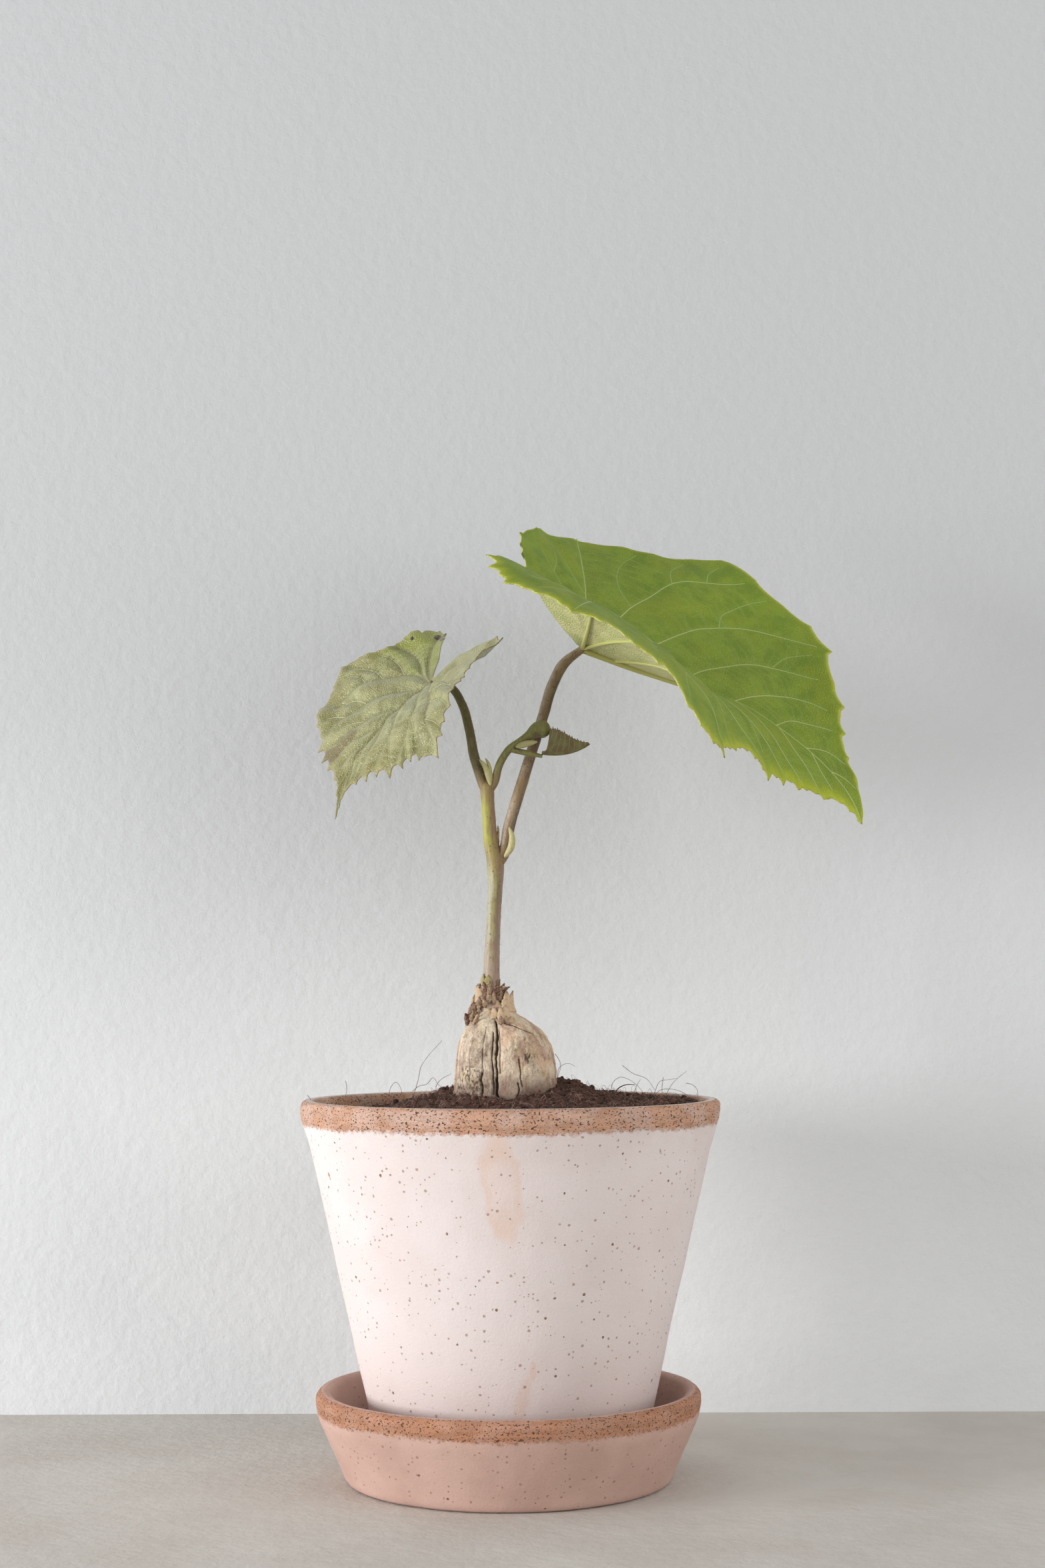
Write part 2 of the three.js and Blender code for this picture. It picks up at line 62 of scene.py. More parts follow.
# Heights where the soil meets the pot's wall and the caudex, and the direction of the main crack
SOIL_EDGE = 118.0
SOIL_LINE = 126.0
GROOVE_ANGLE = np.radians(-101)

# Whole numbers that scatter the corners of a noise's cells: one for each axis, one for the seed,
# and (shift, factor) for each round of mixing within 32 bits
HASH_AXES = np.array([73856093, 19349663, 83492791])
HASH_SEED = 7919
HASH_ROUNDS = ((13, 1274126177), (15, 668265263))
HASH_BITS = 0xFFFFFFFF


# Noise, curves and meshes


def value_noise(points, seed):
    """Smooth values from -1 to 1: hashed values at the eight corners of each unit cell, blended
    by the smoothstep of the place inside the cell."""
    cell = np.floor(points).astype(np.int64)
    place = points - cell
    ease = place * place * (3 - 2 * place)
    total = np.zeros(len(points))
    for corner in np.ndindex(2, 2, 2):
        key = (cell + np.array(corner)) @ HASH_AXES + seed * HASH_SEED
        for shift, factor in HASH_ROUNDS:
            key = ((key ^ (key >> shift)) * factor) & HASH_BITS
        value = ((key >> 8) & 0xFFFF) / 32767.5 - 1
        total += value * np.prod(np.where(corner, ease, 1 - ease), axis=1)
    return total


def rough_noise(points, size, octaves, seed):
    """Value noises summed, each half the size and half the height of the one before."""
    flat = points.reshape(-1, 3) / size
    total = sum(value_noise(flat * 2**i, seed + i) / 2**i for i in range(octaves))
    return total.reshape(points.shape[:-1])


def unit(vectors):
    """Vectors divided by their lengths."""
    return vectors / np.maximum(np.linalg.norm(vectors, axis=-1, keepdims=True), 1e-9)


def length_so_far(points):
    """The length of a line from its start to each of its points."""
    return np.concatenate([[0], np.cumsum(np.linalg.norm(np.diff(points, axis=0), axis=1))])


def even_angles(sides):
    return np.arange(sides) / sides * TURN


def smoothstep(value, low, high):
    """0 below low, 1 above high, and 3t^2 - 2t^3 between."""
    t = np.clip((value - low) / (high - low), 0, 1)
    return t * t * (3 - 2 * t)


def smooth_line(points, count):
    """A line of count points through the given ones: cubic pieces whose slopes are the central
    differences over the length so far."""
    points = np.asarray(points, float)
    length = length_so_far(points)
    slope = np.gradient(points, length, axis=0)
    at = np.linspace(0, length[-1], count)
    i = np.clip(np.searchsorted(length, at, side="right") - 1, 0, len(points) - 2)
    span = (length[i + 1] - length[i])[:, None]
    t = (at - length[i])[:, None] / span
    return (
        (2 * t**3 - 3 * t**2 + 1) * points[i]
        + (t**3 - 2 * t**2 + t) * span * slope[i]
        + (3 * t**2 - 2 * t**3) * points[i + 1]
        + (t**3 - t**2) * span * slope[i + 1]
    )


def grid_faces(rows, columns, closed):
    """Quads between neighbouring rows and columns of a grid of points, counted row by row. With
    closed the last column meets the first."""
    row = np.arange(rows - 1)[:, None] * columns
    column = np.arange(columns if closed else columns - 1)[None, :]
    after = (column + 1) % columns
    corners = [row + column, row + after, row + columns + after, row + columns + column]
    return np.stack([c.ravel() for c in corners], axis=1)


def fan_faces(centre, ring, outward):
    """Triangles from one centre point to a ring of points, turned round when outward is false."""
    after = np.roll(ring, -1)
    pair = (ring, after) if outward else (after, ring)
    return np.stack([np.full(len(ring), centre), *pair], axis=1)


def tube_faces(rows, sides):
    """Rings of points, counted row by row, joined by quads. Fans round two more points, which
    follow the rings, close both ends."""
    ring, count = np.arange(sides), rows * sides
    return [
        grid_faces(rows, sides, True),
        fan_faces(count, ring, False),
        fan_faces(count + 1, ring + count - sides, True),
    ]


def part(points, *faces, **values):
    """One closed form: its points, its face arrays and values on its points."""
    points = np.asarray(points, float).reshape(-1, 3)
    count = len(points)
    full = {k: np.broadcast_to(np.asarray(v, float).ravel(), count) for k, v in values.items()}
    return {"points": points, "faces": list(faces), "values": full}


def merge(parts):
    """Several forms as one, with the face numbers of each moved past the points before it."""
    starts = np.cumsum([0] + [len(p["points"]) for p in parts])
    names = parts[0]["values"].keys()
    return {
        "points": np.concatenate([p["points"] for p in parts]),
        "faces": [face + start for p, start in zip(parts, starts) for face in p["faces"]],
        "values": {n: np.concatenate([p["values"][n] for p in parts]) for n in names},
    }


def add_object(name, data):
    thing = bpy.data.objects.new(name, data)
    bpy.context.scene.collection.objects.link(thing)
    return thing


def make_piece(name, form, material, slot, *nodes):
    """Puts a form into a mesh, in metres, with its values as point attributes. It rides on the one
    body and stands for the CAD nodes named."""
    faces = form["faces"]
    corners = np.concatenate([f.ravel() for f in faces]).astype(np.int32)
    sizes = np.concatenate([np.full(len(f), f.shape[1]) for f in faces])
    starts = (np.cumsum(sizes) - sizes).astype(np.int32)
    mesh = bpy.data.meshes.new(name)
    mesh.vertices.add(len(form["points"]))
    mesh.vertices.foreach_set("co", (form["points"] * MM).astype(np.float32).ravel())
    mesh.loops.add(len(corners))
    mesh.loops.foreach_set("vertex_index", corners)
    mesh.polygons.add(len(starts))
    mesh.polygons.foreach_set("loop_start", starts)
    mesh.polygons.foreach_set("use_smooth", np.ones(len(starts), bool))
    for title, value in form["values"].items():
        layer = mesh.attributes.new(title, "FLOAT", "POINT")
        layer.data.foreach_set("value", value.astype(np.float32))
    mesh.update(calc_edges=True)
    mesh.validate()
    mesh.materials.append(material)
    piece = add_object(name, mesh)
    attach(piece, "root")
    if nodes:
        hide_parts(*nodes)


def ring_spread(side, ahead, sides):
    """Directions round a line: cos a . side + sin a . up, with up = ahead x side."""
    angle = even_angles(sides)[:, None]
    return np.cos(angle) * side[:, None] + np.sin(angle) * np.cross(ahead, side)[:, None]


def sweep(line, radius, sides, across, **values):
    """A closed stalk along a line: each ring is centre + radius . ring_spread, where side is
    across made square to the line. The ends are fans."""
    line = np.asarray(line, float)
    count = len(line)
    radius = np.asarray(radius, float)
    radius = radius if radius.ndim == 2 else radius.reshape(-1, 1)
    ahead = unit(np.gradient(line, axis=0))
    across = np.broadcast_to(np.asarray(across, float), line.shape)
    side = unit(across - ahead * np.sum(across * ahead, axis=1, keepdims=True))
    rings = line[:, None] + radius[..., None] * ring_spread(side, ahead, sides)
    points = np.concatenate([rings.reshape(-1, 3), line[:1], line[-1:]])
    full = {}
    for key, value in values.items():
        value = np.broadcast_to(value, count)
        full[key] = np.concatenate([np.repeat(value, sides), value[:1], value[-1:]])
    return part(points, *tube_faces(count, sides), **full)


# Materials


class Nodes:
    """Adds nodes to one tree and links them: a socket given as an input is linked, a plain value
    is set. In a material they also know it and its shader."""

    def __init__(self, tree, material=None, surface=None):
        self.tree, self.material, self.surface = tree, material, surface

    def add(self, kind, inputs=None, **settings):
        node = self.tree.nodes.new(kind if kind.startswith("Node") else "ShaderNode" + kind)
        for key, value in settings.items():
            setattr(node, key, value)
        for key, value in (inputs or {}).items():
            if isinstance(value, bpy.types.NodeSocket):
                self.tree.links.new(value, node.inputs[key])
            else:
                node.inputs[key].default_value = value
        return node

    def math(self, operation, a, b=0.0):
        return self.add("Math", {0: a, 1: b}, operation=operation).outputs[0]

    def mask(self, value, low, high, to_low=0.0, to_high=1.0):
        """A smooth step of a value from low to high, which gives numbers from to_low to to_high."""
        ends = {"From Min": low, "From Max": high, "To Min": to_low, "To Max": to_high}
        node = self.add("MapRange", {"Value": value, **ends}, interpolation_type="SMOOTHSTEP")
        return node.outputs[0]

    def mix(self, factor, a, b):
        pair = {i: (*c, 1) if isinstance(c, tuple) else c for i, c in ((6, a), (7, b))}
        return self.add("Mix", {0: factor, **pair}, data_type="RGBA").outputs[2]

    def shake(self, value, noise, amount):
        """A value moved up and down by up to an amount."""
        return self.math("ADD", value, self.mask(noise, 0.3, 0.7, -amount, amount))

    def paint(self, under, over, value, low, high, depth=1.0):
        """Lays one colour over another by the mask of a value, up to a depth."""
        return self.mix(self.mask(value, low, high, 0.0, depth), under, over)

    def cover(self, under, over, amount, strength):
        """Lays one colour over another by an amount times a strength."""
        return self.mix(self.math("MULTIPLY", amount, strength), under, over)

    def noise(self, vector, size, detail=3.0, roughness=0.55):
        """A noise whose largest lumps are about a size in millimetres apart."""
        look = {"Scale": 1 / (size * MM), "Detail": detail, "Roughness": roughness}
        return self.add("TexNoise", {"Vector": vector, **look}).outputs[0]

    def value(self, name):
        return self.add("Attribute", attribute_name=name).outputs["Fac"]

    def place(self):
        return self.add("TexCoord").outputs["Object"]

    def height(self, place):
        return self.add("SeparateXYZ", {0: place}).outputs["Z"]

    def stretch(self, vector, *scale):
        return self.add("Mapping", {"Vector": vector, "Scale": scale}).outputs[0]

    def finish(self, colour, height, depth):
        """Links colour and a bump of the given depth in millimetres to the shader."""
        self.tree.links.new(colour, self.surface.inputs["Base Color"])
        bump = self.add("Bump", {"Height": height, "Distance": depth * MM, "Strength": 1.0})
        self.tree.links.new(bump.outputs[0], self.surface.inputs["Normal"])
        return self.material


def new_material(name, roughness, shader=None):
    """The nodes of a new material, with some values of its Principled shader set."""
    material = bpy.data.materials.new(name)
    material.use_nodes = True
    surface = material.node_tree.nodes["Principled BSDF"]
    surface.inputs["Roughness"].default_value = roughness
    for key, value in (shader or {}).items():
        surface.inputs[key].default_value = value
    return Nodes(material.node_tree, material, surface)


def new_group(name, inputs, outputs):
    """An empty node group with named sockets: inputs and outputs are (name, kind, default)."""
    group = bpy.data.node_groups.new(name, "ShaderNodeTree")
    for in_out, sockets in (("INPUT", inputs), ("OUTPUT", outputs)):
        for title, kind, start in sockets:
            kind = "NodeSocket" + kind
            socket = group.interface.new_socket(title, in_out=in_out, socket_type=kind)
            if start is not None:
                socket.default_value = start
    nodes = Nodes(group)
    return group, nodes, nodes.add("NodeGroupInput").outputs, nodes.add("NodeGroupOutput").inputs


def give_out(nodes, result, **values):
    """Links values to the outputs of the same names of a group."""
    for title, value in values.items():
        nodes.tree.links.new(value, result[title.title()])


def dimmed(colour, share):
    return tuple(share * c for c in colour)


def speck_group():
    """Round specks of many sizes: in each cell the distance from a random centre is compared with
    a random number to a high power, so that most specks are small."""
    group, nodes, given, result = new_group(
        "Specks",
        [("Vector", "Vector", None), ("Scale", "Float", 250.0), ("Reach", "Float", 0.2)],
        [("Mask", "Float", None)],
    )
    fine = {"Vector": given["Vector"], "Scale": 1800.0, "Detail": 1.0}
    shake = nodes.add("TexNoise", fine).outputs["Color"]
    offset = {0: shake, 1: (0.0004, 0.0004, 0.0004), 2: given["Vector"]}
    place = nodes.add("VectorMath", offset, operation="MULTIPLY_ADD").outputs[0]
    cells = nodes.add("TexVoronoi", {"Vector": place, "Scale": given["Scale"]})
    random = nodes.add("SeparateColor", {0: cells.outputs["Color"]}).outputs[0]
    limit = nodes.math("MULTIPLY_ADD", nodes.math("POWER", random, 5), given["Reach"])
    limit.node.inputs[2].default_value = 0.002
    ratio = nodes.math("DIVIDE", cells.outputs["Distance"], limit)
    give_out(nodes, result, mask=nodes.mask(ratio, 1, 0.75))
    return group


def pit_group():
    """Coarse unglazed clay: small dark pits and ochre grains where flattened noises are high, wide
    streaks, and the height of it all, which is about 0 on average."""
    group, nodes, given, result = new_group(
        "Clay pits",
        [("Vector", "Vector", None)],
        [(title, "Float", None) for title in ("Pits", "Grains", "Streaks", "Height")],
    )
    flat = nodes.stretch(given["Vector"], 1, 1, 1.35)
    small = nodes.noise(flat, 0.75, 1, 0.5)
    large = nodes.noise(flat, 1.5, 2, 0.6)
    pits = nodes.math("MAXIMUM", nodes.mask(small, 0.625, 0.67), nodes.mask(large, 0.655, 0.69))
    moved = nodes.add("Mapping", {"Vector": flat, "Location": (0.37, 0.11, 0.53)}).outputs[0]
    grains = nodes.mask(nodes.noise(moved, 0.8, 1, 0.5), 0.62, 0.67)
    streaks = nodes.noise(nodes.stretch(given["Vector"], 0.12, 0.12, 1), 1.3, 3, 0.6)
    grain = nodes.noise(given["Vector"], 0.45, 3, 0.6)
    rise = nodes.math("ADD", nodes.math("ADD", grain, streaks), nodes.math("MULTIPLY", grains, 0.5))
    sunk = nodes.math("MULTIPLY", pits, 1.5)
    height = nodes.math("SUBTRACT", nodes.math("SUBTRACT", rise, 1), sunk)
    give_out(nodes, result, pits=pits, grains=grains, streaks=streaks, height=height)
    return group


def tissue_group():
    """Leaf tissue: a net of the smallest veins from the edges of cells, and a soft mottling."""
    group, nodes, given, result = new_group(
        "Leaf tissue",
        [("Vector", "Vector", None), ("Cell", "Float", 400.0)],
        [(title, "Float", None) for title in ("Net", "Mottle", "Height")],
    )
    inputs = {"Vector": given["Vector"], "Scale": given["Cell"]}
    edges = nodes.add("TexVoronoi", inputs, feature="DISTANCE_TO_EDGE").outputs["Distance"]
    net = nodes.mask(edges, 0.1, 0)
    mottle = nodes.noise(given["Vector"], 7, 4, 0.6)
    cushion = nodes.mask(edges, 0, 0.35)
    height = nodes.math("ADD", cushion, nodes.noise(given["Vector"], 0.6, 2, 0.5))
    give_out(nodes, result, net=net, mottle=mottle, height=height)
    return group


SPECKS = speck_group()
PITS = pit_group()
TISSUE = tissue_group()


def use_group(nodes, group, **inputs):
    """Places a group in a material, with its inputs by name, and returns its outputs."""
    return nodes.add("Group", {k.title(): v for k, v in inputs.items()}, node_tree=group).outputs


# Specks in fired clay: cells in a metre, reach, strength and colour
CLAY_SPECKS = [
    (720, 0.42, 0.65, (0.25, 0.135, 0.085)),
    (330, 0.2, 0.88, (0.17, 0.075, 0.035)),
    (105, 0.1, 0.85, (0.4, 0.16, 0.075)),
]
# Colour of the painted shade and pinkish bounce light near the pot's foot, with some staining
FOOT_SHADE_CLAY = (0.63, 0.52, 0.485)
OCHRE_GRAIN = (0.62, 0.36, 0.13)
DARK_PIT = (0.115, 0.045, 0.018)


def fired_clay(name, body, shade, bare, stains_and_foot_shade=False):
    """Fired clay: a chalky body with brown specks of three sizes, and a bare coarse band where the
    value band, millimetres above the band's uneven foot, is positive. A stained wall has dried
    drops on its front, and towards its foot it is painted darker and pinker: painted shade and
    pinkish bounce light from the saucer's rim, with some staining."""
    nodes = new_material(name, 0.9)
    place = nodes.place()
    broad = nodes.noise(place, 28, 4, 0.6)
    colour = nodes.paint(body, shade, broad, 0.35, 0.65)
    if stains_and_foot_shade:
        # Painted shade and pinkish bounce light from the saucer: darker and pinker towards the foot,
        # with some staining
        uneven = nodes.mask(broad, 0.35, 0.65, -0.008, 0.008)
        above_foot = nodes.math("ADD", nodes.height(place), uneven)
        colour = nodes.paint(colour, FOOT_SHADE_CLAY, above_foot, 0.062, 0.014, 0.85)
        colour = drip_stain(nodes, place, colour)
    fine = nodes.noise(place, 0.8, 3, 0.6)
    colour = nodes.paint(colour, shade, fine, 0.35, 0.75, 0.25)
    specks = []
    for scale, reach, strength, brown in CLAY_SPECKS:
        specks.append(use_group(nodes, SPECKS, vector=place, scale=scale, reach=reach)["Mask"])
        colour = nodes.cover(colour, brown, specks[-1], strength)
    coarse = use_group(nodes, PITS, vector=place)
    ragged = nodes.shake(nodes.value("band"), nodes.noise(place, 1.8), 0.5)
    band = nodes.mask(ragged, -0.8, 0.9)
    upper = nodes.mask(nodes.value("band"), 2.5, 5.5)
    rough = nodes.paint(bare, dimmed(bare, 0.8), coarse["Streaks"], 0.35, 0.65)
    rough = nodes.paint(rough, body, nodes.noise(place, 9), 0.42, 0.62, 0.22)
    rough = nodes.cover(rough, body, upper, 0.22)
    rough = nodes.cover(rough, OCHRE_GRAIN, coarse["Grains"], 0.5)
    rough = nodes.cover(rough, DARK_PIT, coarse["Pits"], nodes.mask(upper, 0, 1, 1, 0.7))
    colour = nodes.mix(band, colour, rough)
    dented = nodes.math("SUBTRACT", fine, nodes.math("MAXIMUM", specks[1], specks[2]))
    coarse_height = nodes.math("MULTIPLY", coarse["Height"], band)
    height = nodes.math("ADD", nodes.math("MULTIPLY", dented, 0.35), coarse_height)
    return nodes.finish(colour, height, 0.35)


# Pale orange stains on the pot's front: centre, half width and half height, lean (sideways
# millimetres for one of height), strength of the fill and of the edge
STAINS = [
    (-1.4, 100, 5.6, 14.5, -0.11, 0.24, 0.34),
    (-0.6, 90, 3.4, 4.5, 0, 0.2, 0),
    (-3.6, 112, 6.5, 6, 0, 0.16, 0),
    (4.6, 33.5, 2.2, 9, 0.22, 0.34, 0),
    (8, 43, 1.1, 3.2, 0, 0.45, 0),
]
DRIED_DROP = (0.7, 0.46, 0.33)


def drip_stain(nodes, place, colour):
    """Dried drops: the distance from a stain's centre in half sizes, shaken by noise, gives a pale
    fill and a slightly darker edge, on the front only."""
    axes = nodes.add("SeparateXYZ", {0: place}).outputs
    front = nodes.mask(axes["Y"], 0, -0.02)
    shake = nodes.mask(nodes.noise(place, 6, 1), 0.2, 0.8, -0.16, 0.16)
    for x, z, half_width, half_height, lean, fill_depth, edge_depth in STAINS:
        rise = nodes.math("SUBTRACT", axes["Z"], z * MM)
        middle = nodes.math("MULTIPLY_ADD", rise, lean)
        middle.node.inputs[2].default_value = x * MM
        across = nodes.math("DIVIDE", nodes.math("SUBTRACT", axes["X"], middle), half_width * MM)
        along = nodes.math("DIVIDE", rise, half_height * MM)
        squares = [nodes.math("MULTIPLY", axis, axis) for axis in (across, along)]
        reach = nodes.math("ADD", nodes.math("SQRT", nodes.math("ADD", *squares)), shake)
        fill = nodes.mask(reach, 1.15, 0.55, 0, fill_depth)
        outer_edge = nodes.mask(reach, 1.3, 1, 0, edge_depth)
        edge = nodes.math("MULTIPLY", nodes.mask(reach, 0.6, 0.95), outer_edge)
        colour = nodes.cover(colour, DRIED_DROP, nodes.math("ADD", fill, edge), front)
    return colour


# Pot and saucer

SAUCER_SIDES = 370
POT_SIDES = 415


def soften(profile, cut, closed):
    """Rounds each corner of a profile with a short quadratic curve that starts cut millimetres
    before it and ends as far after."""
    profile = np.asarray(profile, float)
    before, after = np.roll(profile, 1, axis=0), np.roll(profile, -1, axis=0)

    def towards(other):
        reach = np.linalg.norm(other - profile, axis=1, keepdims=True)
        return profile + (other - profile) * np.minimum(cut / np.maximum(reach, 1e-9), 0.45)

    start, end = towards(before), towards(after)
    t = np.linspace(0, 1, 5)[None, :, None]
    curve = (1 - t) ** 2 * start[:, None] + 2 * t * (1 - t) * profile[:, None] + t**2 * end[:, None]
    if closed:
        return curve.reshape(-1, 2)
    inner = curve[1:-1].reshape(-1, 2)
    return np.concatenate([profile[:1], inner, profile[-1:]])


def refine(line, spacing):
    """Adds points so that no edge is longer than spacing, a function of the edge's middle."""
    pieces = []
    for a, b in zip(line[:-1], line[1:]):
        count = max(1, int(np.ceil(np.linalg.norm(b - a) / spacing((a + b) / 2))))
        pieces.append(a + (b - a) * np.arange(count)[:, None] / count)
    return np.concatenate([*pieces, line[-1:]])


def turned_form(line, sides, centre, closed):
    """A profile of (radius, height) turned round an upright axis: closed profiles meet their own
    start, open ones begin and end on the axis, at the points of tube_faces."""
    angle = even_angles(sides)
    body = line[:-1] if closed else line[1:-1]
    x, y = centre + body[:, :1] * np.cos(angle), body[:, :1] * np.sin(angle)
    rings = np.stack([x, y, np.repeat(body[:, 1:], sides, axis=1)], axis=2)
    rows = len(body)
    if not closed:
        return rings, tube_faces(rows, sides)
    ring = np.arange(sides)
    after = np.roll(ring, -1)
    last = (rows - 1) * sides
    seam = np.stack([last + ring, last + after, after, ring], axis=1)
    return rings, [grid_faces(rows, sides, True), seam]


def band_foot(angle, foot, seed):
    """The uneven height where the bare band begins, by angle."""
    place = np.stack([np.cos(angle), np.sin(angle), np.full_like(angle, seed)], axis=-1)
    return foot + 0.6 * rough_noise(place * 10, 4.0, 3, seed)


def roughened(rings, centre, band, wall_depth, band_depth, seed):
    """Moves points in along the radius by noise, deeper on the bare band."""
    bare = smoothstep(band, -0.6, 0.6)
    depth = wall_depth * rough_noise(rings, 14.0, 4, seed)
    depth = depth + bare * band_depth * (rough_noise(rings, 3.2, 4, seed + 9) - 0.3)
    out = rings - np.array([centre, 0, 0])
    out[..., 2] = 0
    return rings + unit(out) * depth[..., None]


def make_saucer(material):
    """The saucer's profile turned round its axis. Its band begins under the lip and ends on top."""
    r, h = SAUCER_RADIUS, SAUCER_HEIGHT
    profile = [
        (0, 0), (r - 13, 0), (r - 10.8, 0.4), (r - 9.7, 1.8), (r - 8.5, 4.6), (r - 4.4, 13.5),
        (r - 1.2, 20.8), (r - 0.3, h - 5.4), (r, h - 2.2), (r - 1.2, h - 0.4), (r - 3, h),
        (r - 4.8, h - 0.8), (r - 5.6, h - 3), (r - 11, SAUCER_FLOOR + 3), (r - 14, SAUCER_FLOOR),
        (0, SAUCER_FLOOR),
    ]
    fine_from = (55, 20)
    line = refine(soften(profile, 1.2, False), lambda p: 0.7 if np.all(p > fine_from) else 2.2)
    rings, faces = turned_form(line, SAUCER_SIDES, 0.0, False)
    angle = np.arctan2(rings[..., 1], rings[..., 0])
    outside = rings[..., 2] - band_foot(angle, h - 6.6, 3)
    inside = np.hypot(rings[..., 0], rings[..., 1]) - (r - 2.0)
    band = np.minimum(outside, 2 * inside)
    rings = roughened(rings, 0.0, band, 0.25, 0.12, 5)
    rings[..., 2] = np.maximum(rings[..., 2], 0)
    poles = np.array([[0, 0, line[0, 1]], [0, 0, line[-1, 1]]])
    points = np.concatenate([rings.reshape(-1, 3), poles])
    form = part(points, *faces, band=np.concatenate([band.ravel(), [-9, -9]]))
    make_piece("saucer_fired", form, material, "saucer_clay", "saucer")


def pot_inside(z):
    """The inner wall's radius at a height: one straight taper."""
    share = (z - POT_BOTTOM) / (POT_TOP - POT_BOTTOM)
    return POT_BASE_RADIUS + (POT_RADIUS - POT_BASE_RADIUS) * share - POT_WALL


def make_pot(material):
    """The pot's closed profile, from the hole in its base up its outside and down its inside,
    turned round its own axis. Its band covers the rim and the inner wall."""
    foot = POT_TOP - RIM_BAND
    floor = POT_BOTTOM + POT_FLOOR
    r = POT_RADIUS - 0.5
    profile = [
        (DRAIN_RADIUS, POT_BOTTOM), (POT_BASE_RADIUS - 1.5, POT_BOTTOM),
        (POT_BASE_RADIUS + 0.4, POT_BOTTOM + 1.8), (r - 3.6, foot - 9), (r - 1.5, foot - 2),
        (r - 0.3, foot + 1.5), (r, foot + 4), (r - 0.1, POT_TOP - 1.2), (r - 0.9, POT_TOP - 0.2),
        (r - 2.4, POT_TOP), (r - 4.6, POT_TOP - 0.2), (pot_inside(POT_TOP - 1.6), POT_TOP - 1.6),
        (pot_inside(floor + 5), floor + 5), (pot_inside(floor) - 5, floor), (DRAIN_RADIUS, floor),
    ]
    loop = soften(profile, 1.0, True)
    fine_from = (r - 8, foot - 4)
    line = refine(np.concatenate([loop, loop[:1]]), lambda p: 0.7 if np.all(p > fine_from) else 4.0)
    rings, faces = turned_form(line, POT_SIDES, POT_OFFSET, True)
    angle = np.arctan2(rings[..., 1], rings[..., 0] - POT_OFFSET)
    outside = rings[..., 2] - band_foot(angle, foot - 0.4, 11)
    radius = np.hypot(rings[..., 0] - POT_OFFSET, rings[..., 1])
    band = np.minimum(outside, 2 * (radius - (r - 1.8)))
    band = np.maximum(band, 1.5 + pot_inside(rings[..., 2]) - radius)
    rings = roughened(rings, POT_OFFSET, band, 0.25, 0.14, 21)
    form = part(rings, *faces, band=band)
    make_piece("pot_fired", form, material, "pot_clay", "pot")


SAUCER_COLOURS = (0.555, 0.372, 0.308), (0.485, 0.315, 0.258), (0.475, 0.22, 0.125)
POT_COLOURS = (0.74, 0.66, 0.64), (0.705, 0.615, 0.59), (0.6, 0.33, 0.215)
make_saucer(fired_clay("Saucer clay", *SAUCER_COLOURS))
make_pot(fired_clay("Pot clay", *POT_COLOURS, stains_and_foot_shade=True))


# Caudex

# Height, radius and sideways lean of the caudex, from deep in the soil to its crown
CAUDEX_PROFILE = [
    (CAUDEX_BOTTOM, 9, 0), (108, 15.5, 0), (118, 17, 0), (128, 17.3, 0), (133, 17.3, 0),
    (138, 16.8, -0.2), (143, 15.6, -0.5), (147.5, 13.3, -1.1), (151, 9.9, -2.2),
    (154.5, 6.6, -4), (158, 4.9, -4.7), (160.8, 4.4, -4.7), (CROWN_HEIGHT, 4.2, -4.6),
]

# Cracks in the bark as (angle in degrees, height), each with its half width, depth and the strength
# of the painted shade in it.
# The first three are the main one, which is narrower in the middle.
CRACKS = [
    ([(-97, 150.2), (-99.5, 143), (-100.3, 140)], 0.62, 2, 0.95),
    ([(-100.3, 140), (-101, 136), (-100.2, 132.5)], 0.48, 1.8, 0.75),
    ([(-100.2, 132.5), (-100, 131), (-99, 126)], 0.62, 2, 0.95),
    ([(-103.5, 147), (-105.5, 139), (-105, 134), (-103, 127)], 0.4, 0.9, 0.8),
    ([(-94, 148), (-95, 141), (-96, 134)], 0.3, 0.5, 0.5),
    ([(-114, 149), (-115.6, 144.3), (-116, 137.5), (-115.2, 134.1), (-117, 132.6)], 0.22, 0.5, 0.7),
    ([(-116.5, 134), (-118, 131.4), (-115.6, 129.8), (-116, 125)], 0.4, 0.9, 0.9),
    ([(-72.4, 138.5), (-72, 134.6), (-73, 132.5), (-70.8, 129.4)], 0.28, 0.7, 0.8),
    ([(-75.5, 130.5), (-75, 128.5), (-76.6, 126.2), (-76.5, 123.5)], 0.32, 0.8, 0.8),
    ([(-81.6, 150.4), (-67, 149.2), (-49, 147.2), (-43, 146.5)], 0.3, 0.6, 0.8),
    ([(-131, 145), (-133, 138), (-131, 133)], 0.25, 0.5, 0.5),
    ([(150, 146), (146, 138), (149, 130)], 0.45, 0.9, 0.9),
    ([(62, 148), (58, 141), (60, 132)], 0.5, 1, 0.9),
    ([(15, 144), (9, 136), (12, 130)], 0.35, 0.7, 0.8),
]
# Where the bark is pitted and stained: angle, height, half width, half height and strength
PITTED = [
    (-137, 130.5, 7.5, 6.5, 1), (-61.5, 139, 2.2, 2, 0.9), (-150, 143, 5, 5, 0.3),
    (150, 132, 9, 5, 0.6),
]
STAINED = [
    (-86, 130.5, 4.5, 2.8, 0.8), (-50, 128, 7, 3.2, 0.9), (-126, 141.5, 2.6, 2.6, 0.6),
    (-60, 139, 3, 2, 0.5), (40, 135, 9, 6, 0.7),
]


def caudex_lobes(angle, z):
    """The share by which the caudex swells and shrinks round its girth, above the soil."""
    above = smoothstep(z, 124, 132) * (1 - smoothstep(z, 149, 158))
    return 1 + 0.025 * above * (np.cos(3 * angle + 1) + np.sin(5 * angle) - 1.2)


